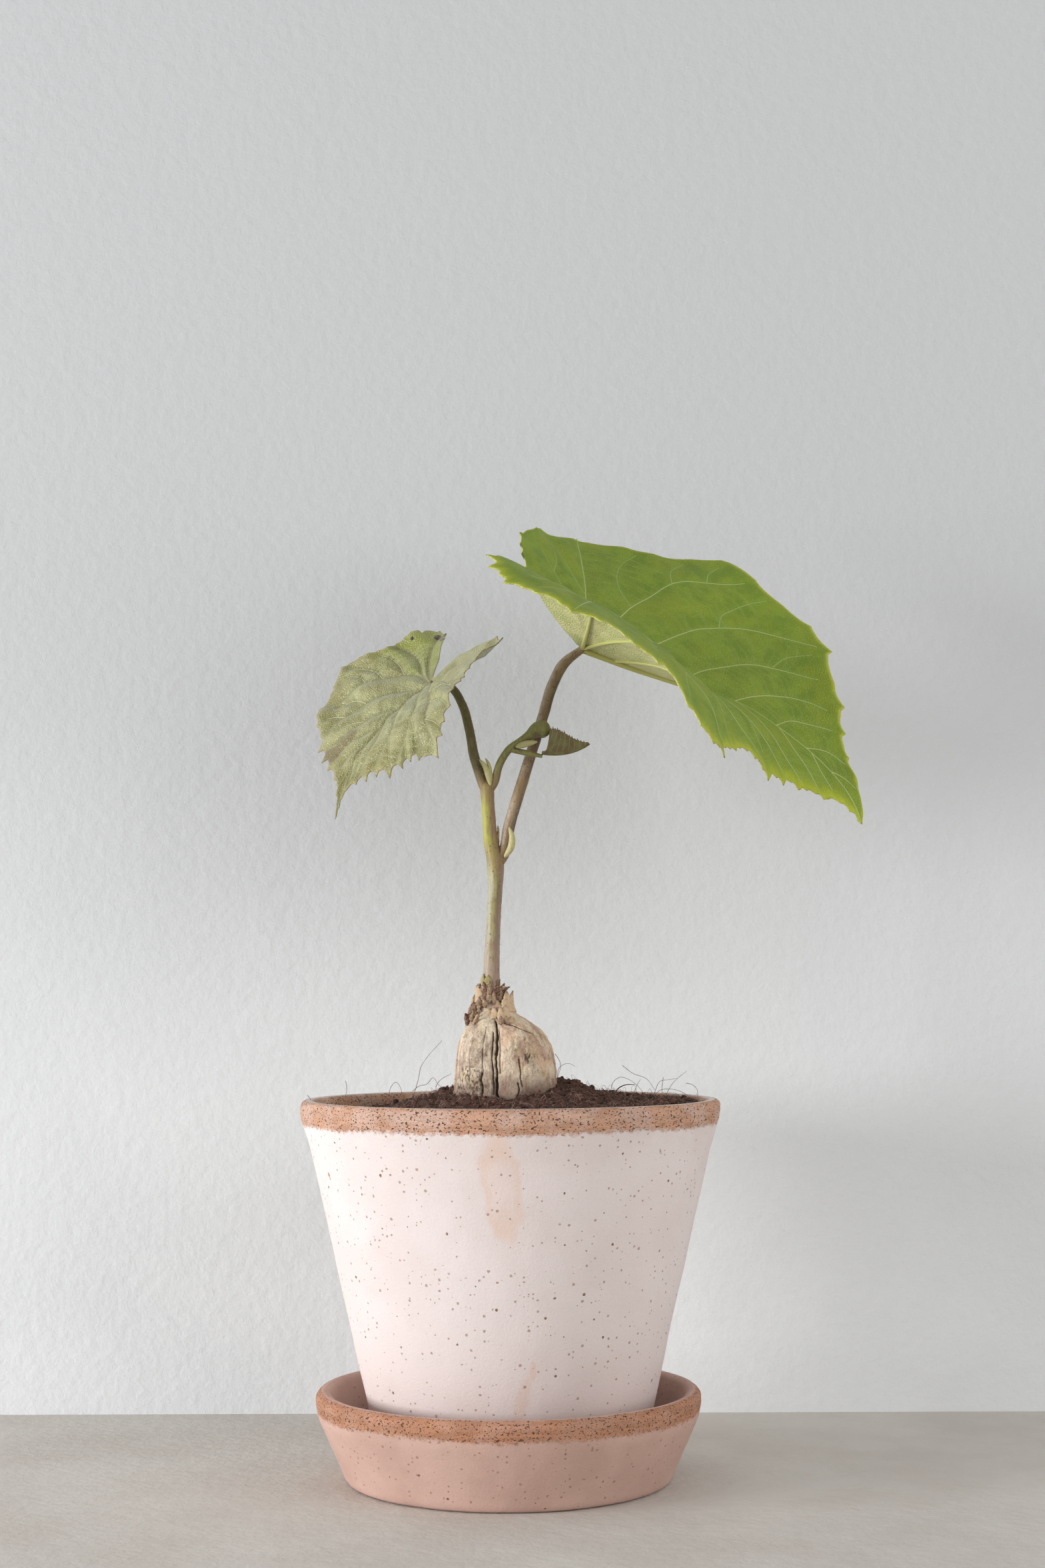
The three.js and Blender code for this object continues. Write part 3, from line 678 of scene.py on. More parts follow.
def nearest_distance(points, starts, ends):
    """Distance in the plane from each point to the nearest of some straight pieces."""
    way = ends - starts
    rel = points[:, None] - starts
    t = np.clip(np.sum(rel * way, axis=2) / np.maximum(np.sum(way**2, axis=1), 1e-12), 0, 1)
    return np.linalg.norm(rel - t[..., None] * way, axis=2).min(axis=1)


def spots(flat, table):
    """The strongest of some soft spots at each place on the unrolled bark."""
    amount = np.zeros(len(flat))
    for angle, z, half_width, half_height, strength in table:
        across = (flat[:, 0] - np.radians(angle) * CAUDEX_RADIUS) / half_width
        up = (flat[:, 1] - z) / half_height
        amount = np.maximum(amount, strength * np.exp(-(across**2) - up**2))
    return amount


def make_caudex(material):
    """Rings of the caudex's profile, swollen by its lobes. Noises of four sizes make bumps, plates,
    ridges and pits in the bark, a soft valley lies round the main crack, and each crack is cut by
    depth . exp(-(distance / half width)^4) on the unrolled bark, where noise shakes the places."""
    sides, rows = 360, 184
    table = smooth_line(CAUDEX_PROFILE, rows)
    even = even_angles(sides)
    angle = GROOVE_ANGLE + even - 0.35 * np.sin(even)
    z, a = np.broadcast_arrays(table[:, :1], angle[None, :])
    radius = table[:, 1:2] * caudex_lobes(a, z)
    turned = np.degrees((a + np.pi) % TURN - np.pi)
    flat = np.stack([np.radians(turned) * CAUDEX_RADIUS, z], axis=2).reshape(-1, 2)
    place = np.stack([radius * np.cos(a), radius * np.sin(a), z], axis=2)
    shake = 0.5 * np.stack([rough_noise(place, 1.8, 3, 31), rough_noise(place, 2.5, 3, 37)], axis=2)
    width_change = 1 + 0.3 * rough_noise(place, 2.2, 2, 43).ravel()
    crack_shade, cut = np.zeros(a.size), np.zeros(a.size)
    for line, half_width, depth, shade_strength in CRACKS:
        path = np.array(line, float) * (np.radians(1) * CAUDEX_RADIUS, 1)
        shaken = flat + shake.reshape(-1, 2) * min(1, half_width)
        reach = nearest_distance(shaken, path[:-1], path[1:])
        reach = reach / (half_width * width_change)
        cut = np.maximum(cut, depth * np.exp(-(reach**4)))
        # Painted shade: each crack is painted dark towards its middle
        crack_shade = np.maximum(crack_shade, shade_strength * np.exp(-((reach / 0.95) ** 4)))
    cut, crack_shade = cut.reshape(a.shape), crack_shade.reshape(a.shape)
    bare = smoothstep(z, 112, 122)
    valley = np.exp(-(((turned + 100) / 13) ** 2))
    valley = valley * smoothstep(z, 122, 130) * (1 - smoothstep(z, 150, 154))
    bumps = rough_noise(place, 9.0, 3, 51)
    plates = np.abs(rough_noise(place * (1, 1, 0.5), 4.2, 4, 57))
    ridges = rough_noise(place * (1, 1, 0.3), 1.5, 3, 59)
    pitted, stained = spots(flat, PITTED), spots(flat, STAINED)
    most = np.minimum(1, 0.1 + 0.8 * pitted).reshape(a.shape)
    pits = smoothstep(rough_noise(place, 1.0, 2, 63), 0.34, 0.55) * most
    neck = smoothstep(z, 152, 156)
    wrinkles = neck * 0.35 * np.sin(9 * a + 2 * rough_noise(place, 3, 2, 71))
    rough = 0.5 * bumps + 0.6 * plates + 0.16 * ridges - 0.4 * pits + wrinkles
    reach = radius + bare * (rough + 0.2) - 1.0 * valley - cut
    middle = CAUDEX_CENTRE + table[:, 2:3]
    points = np.stack([middle + reach * np.cos(a), reach * np.sin(a), z], axis=2)
    ends = np.array([[middle[i, 0], 0, z[i, 0]] for i in (0, -1)])
    # Painted highlight: the raised bumps, plates and ridges are painted paler cream, as where they
    # catch the light
    raised_highlight = smoothstep(0.6 * bumps + 1.2 * plates + 0.3 * ridges, 0.0, 0.9)
    left = smoothstep(turned, -88, -100) * smoothstep(turned, -185, -150)
    values = {
        "crack_shade": crack_shade, "pits": pits, "raised_highlight": raised_highlight, "left": left,
        "pitted": pitted, "stained": stained,
    }
    values = {k: np.concatenate([v.ravel(), [0, 0]]) for k, v in values.items()}
    form = part(np.concatenate([points.reshape(-1, 3), ends]), *tube_faces(rows, sides), **values)
    make_piece("caudex_swollen_base", form, material, "caudex_bark", "caudex")


def bark_material():
    """Cream bark on the left lobe and pinkish tan on the right, with grey-brown clouds, yellowish
    tints, painted highlights on the raised plates, thin upright fissures, pits, soil dust at the
    foot, and painted shade in the cracks."""
    nodes = new_material("Caudex bark", 0.85)
    place = nodes.place()
    tall = nodes.stretch(place, 1, 1, 0.6)
    broad = nodes.noise(place, 7, 5, 0.65)
    patches = nodes.noise(tall, 2.6, 5, 0.68)
    fine = nodes.noise(place, 0.55, 4, 0.7)
    cloud = nodes.mask(broad, 0.38, 0.62)
    left = nodes.mix(cloud, (0.8, 0.66, 0.5), (0.5, 0.38, 0.285))
    right = nodes.mix(cloud, (0.77, 0.54, 0.375), (0.55, 0.37, 0.27))
    colour = nodes.mix(nodes.value("left"), right, left)
    tint = nodes.noise(place, 5, 3, 0.6)
    colour = nodes.paint(colour, (0.64, 0.5, 0.23), tint, 0.52, 0.66, 0.5)
    colour = nodes.paint(colour, (0.31, 0.2, 0.14), patches, 0.53, 0.64, 0.6)
    # Painted highlight on the raised plates
    colour = nodes.paint(colour, (0.84, 0.71, 0.53), nodes.value("raised_highlight"), 0.35, 0.95, 0.75)
    uneven = nodes.mask(patches, 0.38, 0.6, 0.35, 1)
    colour = nodes.cover(colour, (0.22, 0.14, 0.11), nodes.value("stained"), uneven)
    line = nodes.math("ABSOLUTE", nodes.math("SUBTRACT", nodes.noise(tall, 1.7, 3, 0.6), 0.5))
    thin = nodes.mask(line, 0.02, 0.004)
    fissure = nodes.math("MULTIPLY", thin, nodes.mask(broad, 0.4, 0.6, 0.1, 0.5))
    colour = nodes.mix(fissure, colour, (0.27, 0.17, 0.1))
    colour = nodes.paint(colour, (0.2, 0.13, 0.09), fine, 0.56, 0.7, 0.6)
    damp = nodes.shake(nodes.height(place), patches, 0.002)
    colour = nodes.paint(colour, (0.17, 0.1, 0.075), damp, 0.1335, 0.1265, 0.75)
    point = nodes.mask(nodes.noise(tall, 0.8, 1, 0.5), 0.56, 0.62)
    point = nodes.math("MULTIPLY", point, nodes.mask(nodes.value("pitted"), 0.1, 0.7, 0.12, 0.9))
    dark = nodes.math("MAXIMUM", point, nodes.mask(nodes.value("pits"), 0.2, 0.8, 0, 0.85))
    colour = nodes.mix(dark, colour, (0.12, 0.075, 0.035))
    # Painted shade in the cracks
    colour = nodes.paint(colour, (0.075, 0.05, 0.035), nodes.value("crack_shade"), 0.1, 0.9, 0.92)
    rise = nodes.math("ADD", fine, nodes.math("MULTIPLY", patches, 1.5))
    rise = nodes.math("SUBTRACT", rise, nodes.math("ADD", point, fissure))
    return nodes.finish(colour, rise, 0.4)


# Thin blades: scales and stipules


def sheet_form(grid, thickness, **values):
    """A closed thin sheet round a grid of middle points: each face is the middle moved half the
    thickness along the normal, the cross product of the grid's two directions."""
    rows, columns = grid.shape[:2]
    normal = unit(np.cross(np.gradient(grid, axis=0), np.gradient(grid, axis=1)))
    upper = (grid + normal * thickness / 2).reshape(-1, 3)
    lower = (grid - normal * thickness / 2).reshape(-1, 3)
    count = rows * columns
    top = grid_faces(rows, columns, False)[:, ::-1]
    index = np.arange(count).reshape(rows, columns)
    border = np.concatenate([index[0, :-1], index[:-1, -1], index[-1, :0:-1], index[:0:-1, 0]])
    after = np.roll(border, -1)
    rim = np.stack([border, border + count, after + count, after], axis=1)[:, ::-1]
    full = {k: np.tile(np.asarray(v, float).ravel(), 2) for k, v in values.items()}
    return part(np.concatenate([upper, lower]), top, top[:, ::-1] + count, rim, **full)


def scale_form(at, length, width, yaw, pitch, hollow, thickness=0.35, tone=0.5):
    """A pointed scale: its middle line starts at a place and turns through three pitches, its half
    width is width/2 . sin(pi s^0.6)^0.7 with ragged edges, and it is hollow across by hollow times
    the half width."""
    rows, columns = 21, 9
    s = np.linspace(0, 1, rows)
    up = np.radians(np.interp(s, [0, 0.5, 1], pitch))
    turn = np.radians(yaw)
    ahead = np.stack([np.cos(up) * np.cos(turn), np.cos(up) * np.sin(turn), np.sin(up)], axis=1)
    line = np.asarray(at, float) + np.cumsum(ahead, axis=0) * length / rows
    side = np.array([-np.sin(turn), np.cos(turn), 0.0])
    raised = np.cross(ahead, side)
    half = width / 2 * np.sin(np.pi * np.clip(s, 0.02, 0.985) ** 0.6) ** 0.7
    seed = int(abs(at[0] * 10 + at[2])) + 3
    half = half * (1 + 0.16 * rough_noise(np.stack([s * 14, 0 * s, 0 * s], axis=1), 1, 2, seed))
    t = np.linspace(-1, 1, columns)
    grid = (
        line[:, None]
        + (half[:, None] * np.sin(t * 1.2) / 1.2)[..., None] * side
        + (half[:, None] * hollow * t**2)[..., None] * raised[:, None]
    )
    wave = rough_noise(grid, 1.6, 3, seed)
    grid = grid + 0.3 * wave[..., None] * raised[:, None]
    along = np.broadcast_to(s[:, None], grid.shape[:2])
    border = np.broadcast_to(np.abs(t), grid.shape[:2])
    tones = np.full(grid.shape[:2], tone)
    return sheet_form(grid, thickness, along=along, border=border, tone=tones)


# Dry scales at the crown: angle and height on the neck, length, width, twist from facing outward,
# three pitches, hollow, tone from dark to cream
CROWN_SCALES = [
    (-118, 157.6, 6.6, 2.6, 0, (95, 88, 80), 0.6, 0.1),
    (-95, 157, 7.2, 2.4, 10, (95, 92, 84), 0.6, 0.2),
    (-72, 157.4, 6.4, 2.6, 0, (94, 88, 80), 0.6, 0.08),
    (-105, 156.4, 5.2, 1.9, -15, (98, 92, 100), 0.6, 0.4),
    (-83, 156, 5, 1.8, 10, (92, 94, 98), 0.6, 0.3),
    (-50, 157.2, 5.6, 2.6, 0, (95, 90, 84), 0.6, 0.25),
    (-150, 156.8, 6.4, 5, 0, (70, 92, 125), 0.9, 0.75),
    (-146, 158.6, 3.8, 3.2, 10, (85, 92, 95), 0.4, 0),
    (-175, 156.6, 7, 4.4, 0, (85, 92, 112), 0.6, 0.6),
    (150, 156.6, 7, 4.6, 0, (88, 92, 105), 0.6, 0.5),
    (100, 156.4, 8, 5, 0, (92, 90, 84), 0.6, 0.6),
    (50, 156.6, 7, 4.4, 0, (88, 84, 76), 0.6, 0.45),
    (-42, 153.6, 7.6, 6.4, 0, (112, 104, 96), 0.3, 0.72),
    (-15, 153.6, 7.4, 5.8, 0, (114, 100, 84), 0.35, 0.7),
    (12, 154.6, 6.5, 4.6, 0, (104, 90, 60), 0.4, 0.6),
    (-35, 159.6, 4.2, 3, 0, (60, 45, 15), 0.6, 0.12),
    (-160, 150.8, 6.6, 3, 20, (60, 98, 135), 0.7, 0.2),
    (-172, 151.6, 6, 2.8, -10, (70, 100, 140), 0.7, 0.35),
    (-145, 152, 6, 2.4, 0, (50, 85, 125), 0.7, 0.12),
    (-165, 149.2, 5, 2.4, 60, (100, 70, 40), 0.7, 0.1),
    (-135, 153.2, 5.5, 2.4, -10, (60, 92, 130), 0.7, 0.3),
    (-140, 149.6, 5.4, 2, 80, (40, 50, 60), 0.6, 0.4),
    (-150, 150.4, 6, 1.8, 70, (30, 45, 60), 0.6, 0.25),
    (175, 153, 7, 3.6, 0, (80, 95, 120), 0.6, 0.5),
    (-128, 154.8, 4.6, 2.4, 20, (40, 72, 105), 0.6, 0.2),
    (-112, 155.2, 4, 2.2, 0, (30, 60, 95), 0.6, 0.35),
    (-155, 153.6, 5, 2.6, -30, (60, 110, 160), 0.8, 0.15),
    (-142, 155.2, 4.6, 2.6, 30, (70, 110, 150), 0.8, 0.3),
    (-100, 151.6, 4.8, 3.2, 0, (128, 122, 112), 0.25, 0.95),
    (-85, 151, 5.4, 3, 0, (128, 120, 108), 0.25, 0.9),
    (-117, 151.4, 4.6, 2.6, 0, (126, 122, 108), 0.25, 0.8),
    (-66, 152, 4.6, 3.4, 0, (126, 118, 106), 0.25, 0.95),
    (-88, 149.6, 3.4, 2.6, 0, (40, 95, 150), 0.8, 0.3),
    (-78, 150.2, 2.8, 2.2, 10, (40, 85, 130), 0.8, 0.45),
]
# Small curled olive scales on the foot of the stem: place, length, width, direction, three
# pitches, hollow, tone
FOOT_SCALES = [
    ((-8.2, -1.4, 161.6), 5.6, 3.6, 185, (64, 86, 150), 0.7, 0.65),
    ((-7.6, -2.4, 161.4), 5, 3.4, 225, (70, 96, 160), 0.7, 0.75),
    ((-6.4, -2.9, 161.8), 4.6, 3, 262, (76, 90, 120), 0.6, 0.6),
    ((-3.2, -2, 161.2), 3.8, 2.6, 310, (84, 74, 60), 0.6, 0.2),
]


def crown_form():
    """The crown's scales, each set on the caudex's neck at its angle and height."""
    heights, radii, leans = np.array(CAUDEX_PROFILE).T
    forms = []
    for angle, z, length, width, twist, pitch, hollow, tone in CROWN_SCALES:
        radius, lean = np.interp(z, heights, radii), np.interp(z, heights, leans)
        x, y = np.cos(np.radians(angle)), np.sin(np.radians(angle))
        at = (CAUDEX_CENTRE + lean + radius * x, radius * y, z)
        yaw, lifted_tone = angle + twist, 0.2 + 0.8 * tone
        forms.append(scale_form(at, length, width, yaw, pitch, hollow, 0.3, lifted_tone))
    return merge(forms)


def scale_material(name, dark, light, roughness):
    """Two colours mixed by tone, lighter at the side edges and dark at the point."""
    nodes = new_material(name, roughness)
    place = nodes.place()
    fine = nodes.noise(place, 0.6, 4, 0.65)
    tone = nodes.shake(nodes.value("tone"), fine, 0.2)
    tone = nodes.math("ADD", tone, nodes.mask(nodes.value("border"), 0.7, 1, 0, 0.25))
    colour = nodes.paint(dark, light, tone, 0.1, 0.9)
    colour = nodes.paint(colour, dark, nodes.value("along"), 0.75, 1, 0.6)
    return nodes.finish(colour, fine, 0.2)


# Soil


def soil_height(x, y):
    """A mound behind the caudex, a little higher on the right, with soft lumps."""
    mound = 10 * np.exp(-(x**2 + (y - 8) ** 2) / 1300)
    knoll = 2 * np.exp(-((x - 20) ** 2 + (y - 2) ** 2) / 70)
    lumps = 0.6 * np.sin(x / 5.3 + 1) * np.cos(y / 6.1) + 0.4 * np.sin((x + y) / 2.9)
    return 120.4 + (mound + knoll) + lumps + 0.04 * x


def rough_soil(x, y):
    """The soil's height with crumbs: noise of a few sizes added to the soft form."""
    place = np.stack([x, y, np.zeros_like(x)], axis=-1)
    crumbs = np.abs(rough_noise(place, 2.6, 4, 81)) + 0.5 * rough_noise(place, 7, 2, 87)
    return soil_height(x, y) + 1.2 * crumbs - 0.2


def make_soil(material):
    """The soil as rings, from its base up the pot's wall, over its rough top to the caudex and down
    round it, a little clear of the pot and the caudex."""
    sides, rows = 360, 88
    angle = even_angles(sides)[None, :]
    inner = CAUDEX_RADIUS * caudex_lobes(angle, SOIL_LINE) + 0.15
    outer = pot_inside(SOIL_EDGE) - 0.35
    share = np.linspace(0, 1, rows)[:, None] ** 0.85
    radius = outer + (inner - outer) * share
    centre = POT_OFFSET + (CAUDEX_CENTRE - POT_OFFSET) * share
    x, y = centre + radius * np.cos(angle), radius * np.sin(angle)
    top = np.stack([x, y, rough_soil(x, y)], axis=2)

    def level_ring(r, z, middle):
        x, y = middle + r * np.cos(angle), r * np.sin(angle)
        return np.stack([x, y, np.full((1, sides), z)], axis=2)

    bottom = POT_BOTTOM + POT_FLOOR + CLEARANCE
    hole_bottom = CAUDEX_BOTTOM - CLEARANCE
    bevel = 6
    rings = [
        level_ring(pot_inside(bottom) - bevel, bottom, POT_OFFSET),
        level_ring(pot_inside(bottom + bevel) - 2 * CLEARANCE, bottom + bevel, POT_OFFSET),
        top,
        level_ring(inner, hole_bottom, CAUDEX_CENTRE),
    ]
    ends = np.array([[POT_OFFSET, 0, bottom], [CAUDEX_CENTRE, 0, hole_bottom]])
    points = np.concatenate([ring.reshape(-1, 3) for ring in rings] + [ends])
    form = part(points, *tube_faces(rows + 3, sides), tone=0.5)
    make_piece("soil_surface", form, material, "potting_soil", "soil")


def soil_places(random, count, clear):
    """Random places spread evenly over the soil, clear of the caudex and the wall."""
    angle = random.uniform(0, TURN, count)
    low, high = (CAUDEX_RADIUS + clear) ** 2, (pot_inside(SOIL_EDGE + 1) - clear) ** 2
    radius = np.sqrt(random.uniform(low, high, count))
    return radius * np.cos(angle) + 0.4, radius * np.sin(angle)


def make_crumbs(material):
    """Many small lumps: an icosahedron's twelve points stretched and turned at random."""
    random = np.random.default_rng(7)
    count = 3200
    g = (1 + 5**0.5) / 2
    corners = np.array(
        [(-1, g, 0), (1, g, 0), (-1, -g, 0), (1, -g, 0), (0, -1, g), (0, 1, g),
         (0, -1, -g), (0, 1, -g), (g, 0, -1), (g, 0, 1), (-g, 0, -1), (-g, 0, 1)]
    ) / np.hypot(1, g)
    triangles = np.array(
        [(0, 11, 5), (0, 5, 1), (0, 1, 7), (0, 7, 10), (0, 10, 11), (1, 5, 9), (5, 11, 4),
         (11, 10, 2), (10, 7, 6), (7, 1, 8), (3, 9, 4), (3, 4, 2), (3, 2, 6), (3, 6, 8),
         (3, 8, 9), (4, 9, 5), (2, 4, 11), (6, 2, 10), (8, 6, 7), (9, 8, 1)]
    )
    x, y = soil_places(random, count, 1.0)
    size = 0.18 + 0.75 * random.uniform(0, 1, count) ** 4
    turns = np.linalg.qr(random.normal(size=(count, 3, 3)))[0]
    turns *= np.sign(np.linalg.det(turns))[:, None, None]
    stretch = size[:, None] * random.uniform(0.6, 1.4, (count, 3))
    jitter = 1 + 0.25 * random.normal(size=(count, 12, 1))
    local = corners * jitter * stretch[:, None]
    middle = np.stack([x, y, rough_soil(x, y) + 0.25 * size], axis=1)
    points = middle[:, None] + local @ turns
    faces = triangles[None] + 12 * np.arange(count)[:, None, None]
    tone = np.repeat(random.uniform(0, 1, count), 12)
    form = part(points, faces.reshape(-1, 3), tone=tone)
    make_piece("soil_crumbs", form, material, "potting_soil")


# Long root fibres seen against the wall, as points (x, y, z)
LONG_FIBRES = [
    [(-31.4, -4, 126.5), (-30.4, -4, 129.8), (-29.7, -4, 132.5), (-29.2, -4, 135.3),
     (-27.6, -4, 138), (-22, -4, 144.4)],
    [(-39.6, -5, 125), (-39.2, -5, 128.7), (-37.4, -5, 130.7), (-35.8, -5, 128.9),
     (-35.4, -5, 125.6)],
    [(-32, 1, 127.4), (-30.1, 1, 129), (-27.2, 1, 129.8), (-25.2, 1, 131.9),
     (-23.2, 1, 129.4), (-21.6, 1, 128.4)],
    [(-24.4, 3, 128.8), (-23.1, 3, 130.7), (-19.1, 3, 133.2)],
    [(-67, -4, 126.4), (-66.2, -4, 125.4), (-65, -4, 123)],
    [(-55, 6, 130.7), (-54.6, 6, 128.8), (-55.4, 6, 124)],
    [(16.6, -4, 131), (17.3, -5, 135.3), (19.3, -6, 136.6), (20.9, -6, 136.6), (22.5, -6, 135.7)],
    [(15.9, 0, 139.8), (16.9, 0, 138.4), (17.6, 0, 137), (16.6, 0, 131)],
    [(34.6, 0, 125), (35.5, 0, 130.3), (37.8, 0, 131.9), (40.5, 0, 131.2), (43.2, 0, 129.4),
     (46.4, 0, 125.4)],
    [(42, -2, 125.6), (43.4, -2, 129.4), (44.5, -2, 131.2)],
    [(38.7, 4, 135.7), (42.3, 4, 133), (46.8, 4, 131.2), (49.8, 4, 127.2)],
    [(49, 2, 125.6), (51.8, 1, 130.7), (54, 1, 130.9), (56.8, 1, 131.4)],
    [(52.6, 5, 131.6), (52.1, 5, 127.6), (52.4, 5, 124.4)],
    [(52.6, -1, 125), (55.4, -1, 129.8), (57.2, -1, 131.6), (60, -1, 133.8)],
    [(59.7, -3, 129.9), (61.9, -3, 129.4), (63.3, -3, 128), (63.6, -3, 124.6)],
    [(47.4, -8, 124.2), (50.6, -9, 127.8), (57.2, -10, 127.6), (61.4, -10, 124.8)],
    [(40, -14, 124), (41.4, -15, 127), (46.4, -17, 126.2)],
]
# A dry blade of grass lying bent on the soil
GRASS = [(34.8, -6, 124.6), (37.3, -6, 128.7), (39.4, -6, 129.6), (42.4, -6, 129.7)]


def make_fibres(material):
    """Fine roots: long ones through given points, and many short ones whose height is a half sine
    with a curl to the side, a sine of 2.5 half turns that grows along the root."""
    random = np.random.default_rng(23)
    across = (0.1, 1, 0.2)
    radius = np.linspace(0.1, 0.055, 26)
    forms = [sweep(smooth_line(line, 26), radius, 5, across, tone=0.3) for line in LONG_FIBRES]
    forms.append(sweep(smooth_line(GRASS, 20), np.linspace(0.32, 0.1, 20), 6, across, tone=0.1))
    count = 1300
    x, y = soil_places(random, count, 0.5)
    t = np.linspace(0, 1, 9)
    for i in range(count):
        heading = random.uniform(0, TURN)
        reach = random.uniform(1.5, 6.0)
        height = random.uniform(0.2, 1) ** 2 * random.choice([1.2, 2.2, 4], p=[0.7, 0.25, 0.05])
        curl = random.uniform(0.2, 0.8)
        phase = random.uniform(0, TURN)
        ahead = reach * t
        aside = curl * np.sin(2.5 * np.pi * t + phase) * (0.5 + t)
        px = x[i] + ahead * np.cos(heading) - aside * np.sin(heading)
        py = y[i] + ahead * np.sin(heading) + aside * np.cos(heading)
        out = np.hypot(px - POT_OFFSET, py)
        hold = np.minimum(1, (pot_inside(SOIL_EDGE + 3) - 1.0) / np.maximum(out, 1e-6))
        px, py = POT_OFFSET + (px - POT_OFFSET) * hold, py * hold
        pz = soil_height(px, py) + 0.7 + height * np.sin(np.pi * t) + 0.3 * np.sin(6 * t + phase)
        line = np.stack([px, py, pz], axis=1)
        radius = random.uniform(0.04, 0.085) * np.linspace(1, 0.5, len(t))
        across = (-np.sin(heading), np.cos(heading), 0.3)
        forms.append(sweep(line, radius, 3, across, tone=random.uniform(0, 1)))
    make_piece("soil_root_fibres", merge(forms), material, "potting_soil")


def soil_material(name, dark, light, depth):
    """Two colours mixed by tone and a fine grain, with a bump of the given depth."""
    nodes = new_material(name, 0.95)
    place = nodes.place()
    grain = nodes.noise(place, 0.9, 5, 0.7)
    tone = nodes.shake(nodes.value("tone"), grain, 0.4)
    colour = nodes.paint(dark, light, tone, 0, 1)
    return nodes.finish(colour, grain, depth)


make_caudex(bark_material())
dry_scale = scale_material("Dry scale", (0.095, 0.036, 0.02), (0.62, 0.45, 0.29), 0.8)
make_piece("crown_scales", crown_form(), dry_scale, "caudex_bark")
olive_scale = scale_material("Olive scale", (0.16, 0.09, 0.04), (0.42, 0.36, 0.15), 0.7)
foot_scales = merge([scale_form(*row, tone=tone) for *row, tone in FOOT_SCALES])
make_piece("stem_foot_scales", foot_scales, olive_scale, "stem_skin")
make_soil(soil_material("Damp soil", (0.036, 0.017, 0.011), (0.15, 0.07, 0.047), 0.8))
make_crumbs(soil_material("Soil crumb", (0.027, 0.013, 0.009), (0.19, 0.085, 0.058), 0.3))
make_fibres(soil_material("Root fibre", (0.07, 0.038, 0.026), (0.42, 0.27, 0.225), 0.05))


# Stem


def stalk(points, radii, sides, rows, seed, kind, round_end=False):
    """A stem or petiole through the given points: its radius runs evenly through the given radii,
    with fine lengthwise ridges and soft noise. A round end closes as a quarter circle. Its values
    are the share along it, the direction its skin faces from left to right, by which painted light
    and shade are laid on the lit left and shaded right, and its kind."""
    line = smooth_line(points, rows)
    share = np.linspace(0, 1, rows)
    radius = np.interp(share, np.linspace(0, 1, len(radii)), radii)
    if round_end:
        steps = np.linalg.norm(np.diff(line, axis=0), axis=1)
        ahead = np.append(np.cumsum(steps[::-1])[::-1], 0.0)
        radius = radius * np.sqrt(np.clip(1 - np.clip(1 - ahead / radius, 0, 1) ** 2, 0.001, 1))
    angle = even_angles(sides)
    x, y = 3 * np.cos(angle), 3 * np.sin(angle)
    place = np.stack(np.broadcast_arrays(x, y, line[:, 2:] * 0.35), axis=2)
    ridges = 0.018 * np.cos(9 * angle + 2 * share[:, None])
    uneven = 1 + 0.05 * rough_noise(place, 2.0, 3, seed) + ridges
    form = sweep(line, radius[:, None] * uneven, sides, (0, 1, 0), share=share, kind=float(kind))
    centre = np.concatenate([np.repeat(line, sides, axis=0), line[:1], line[-1:]])
    reach = np.concatenate([np.repeat(radius, sides), radius[:1], radius[-1:]])
    form["values"]["facing"] = (form["points"] - centre)[:, 0] / reach
    return form, line, radius


HAIR_RADIUS = 0.045


def hair_form(lines, count, seed):
    """Short hairs as three-sided spikes that stand out from random places on the stalks, a share
    of them on each stalk."""
    random = np.random.default_rng(seed)
    bases, tips = [], []
    for line, radius, share in lines:
        number = int(count * share)
        at = random.uniform(0.02, 0.97, number) * (len(line) - 1)
        i = at.astype(int)
        middle = line[i] + (at - i)[:, None] * (line[i + 1] - line[i])
        ahead = unit(line[i + 1] - line[i])
        out = random.normal(size=(number, 3))
        out = unit(out - ahead * np.sum(out * ahead, axis=1, keepdims=True))
        bases.append(middle + out * (radius[i] * 0.97)[:, None])
        length = random.uniform(0.25, 0.8, number)[:, None]
        tips.append(bases[-1] + (out + 0.3 * random.normal(size=(number, 3))) * length)
    base, tip = np.concatenate(bases), np.concatenate(tips)
    ahead = unit(tip - base)
    side = unit(np.cross(ahead, [0.3, 0.2, 0.93]))
    foot = base[:, None] + HAIR_RADIUS * ring_spread(side, ahead, 3)
    points = np.concatenate([foot, tip[:, None]], axis=1)
    spike = np.array([(0, 1, 3), (1, 2, 3), (2, 0, 3), (0, 2, 1)])
    return part(points, (spike[None] + 4 * np.arange(len(base))[:, None, None]).reshape(-1, 3))


# Plump stipules at the nodes and under the young leaf: middle line, radius and tone
STIPULES = [
    ([(-0.9, -2.3, 205.8), (1.3, -2.9, 209.2), (1.7, -3, 212.6), (0.7, -2.7, 216.2)], 1.05, 0.75),
    ([(-5.5, -2, 230.2), (-6.3, -2.5, 233.6), (-7.4, -2.6, 236.8), (-9.3, -2.4, 239.2)], 0.85, 0.8),
    ([(-5.3, -1.8, 231), (-5.6, -2.2, 234), (-6.2, -2.2, 237.6), (-7.2, -2, 239.6)], 0.6, 0.7),
    ([(3, -5.4, 243), (6.2, -5.8, 244), (10.4, -5.6, 244.8)], 1, 0.85),
]


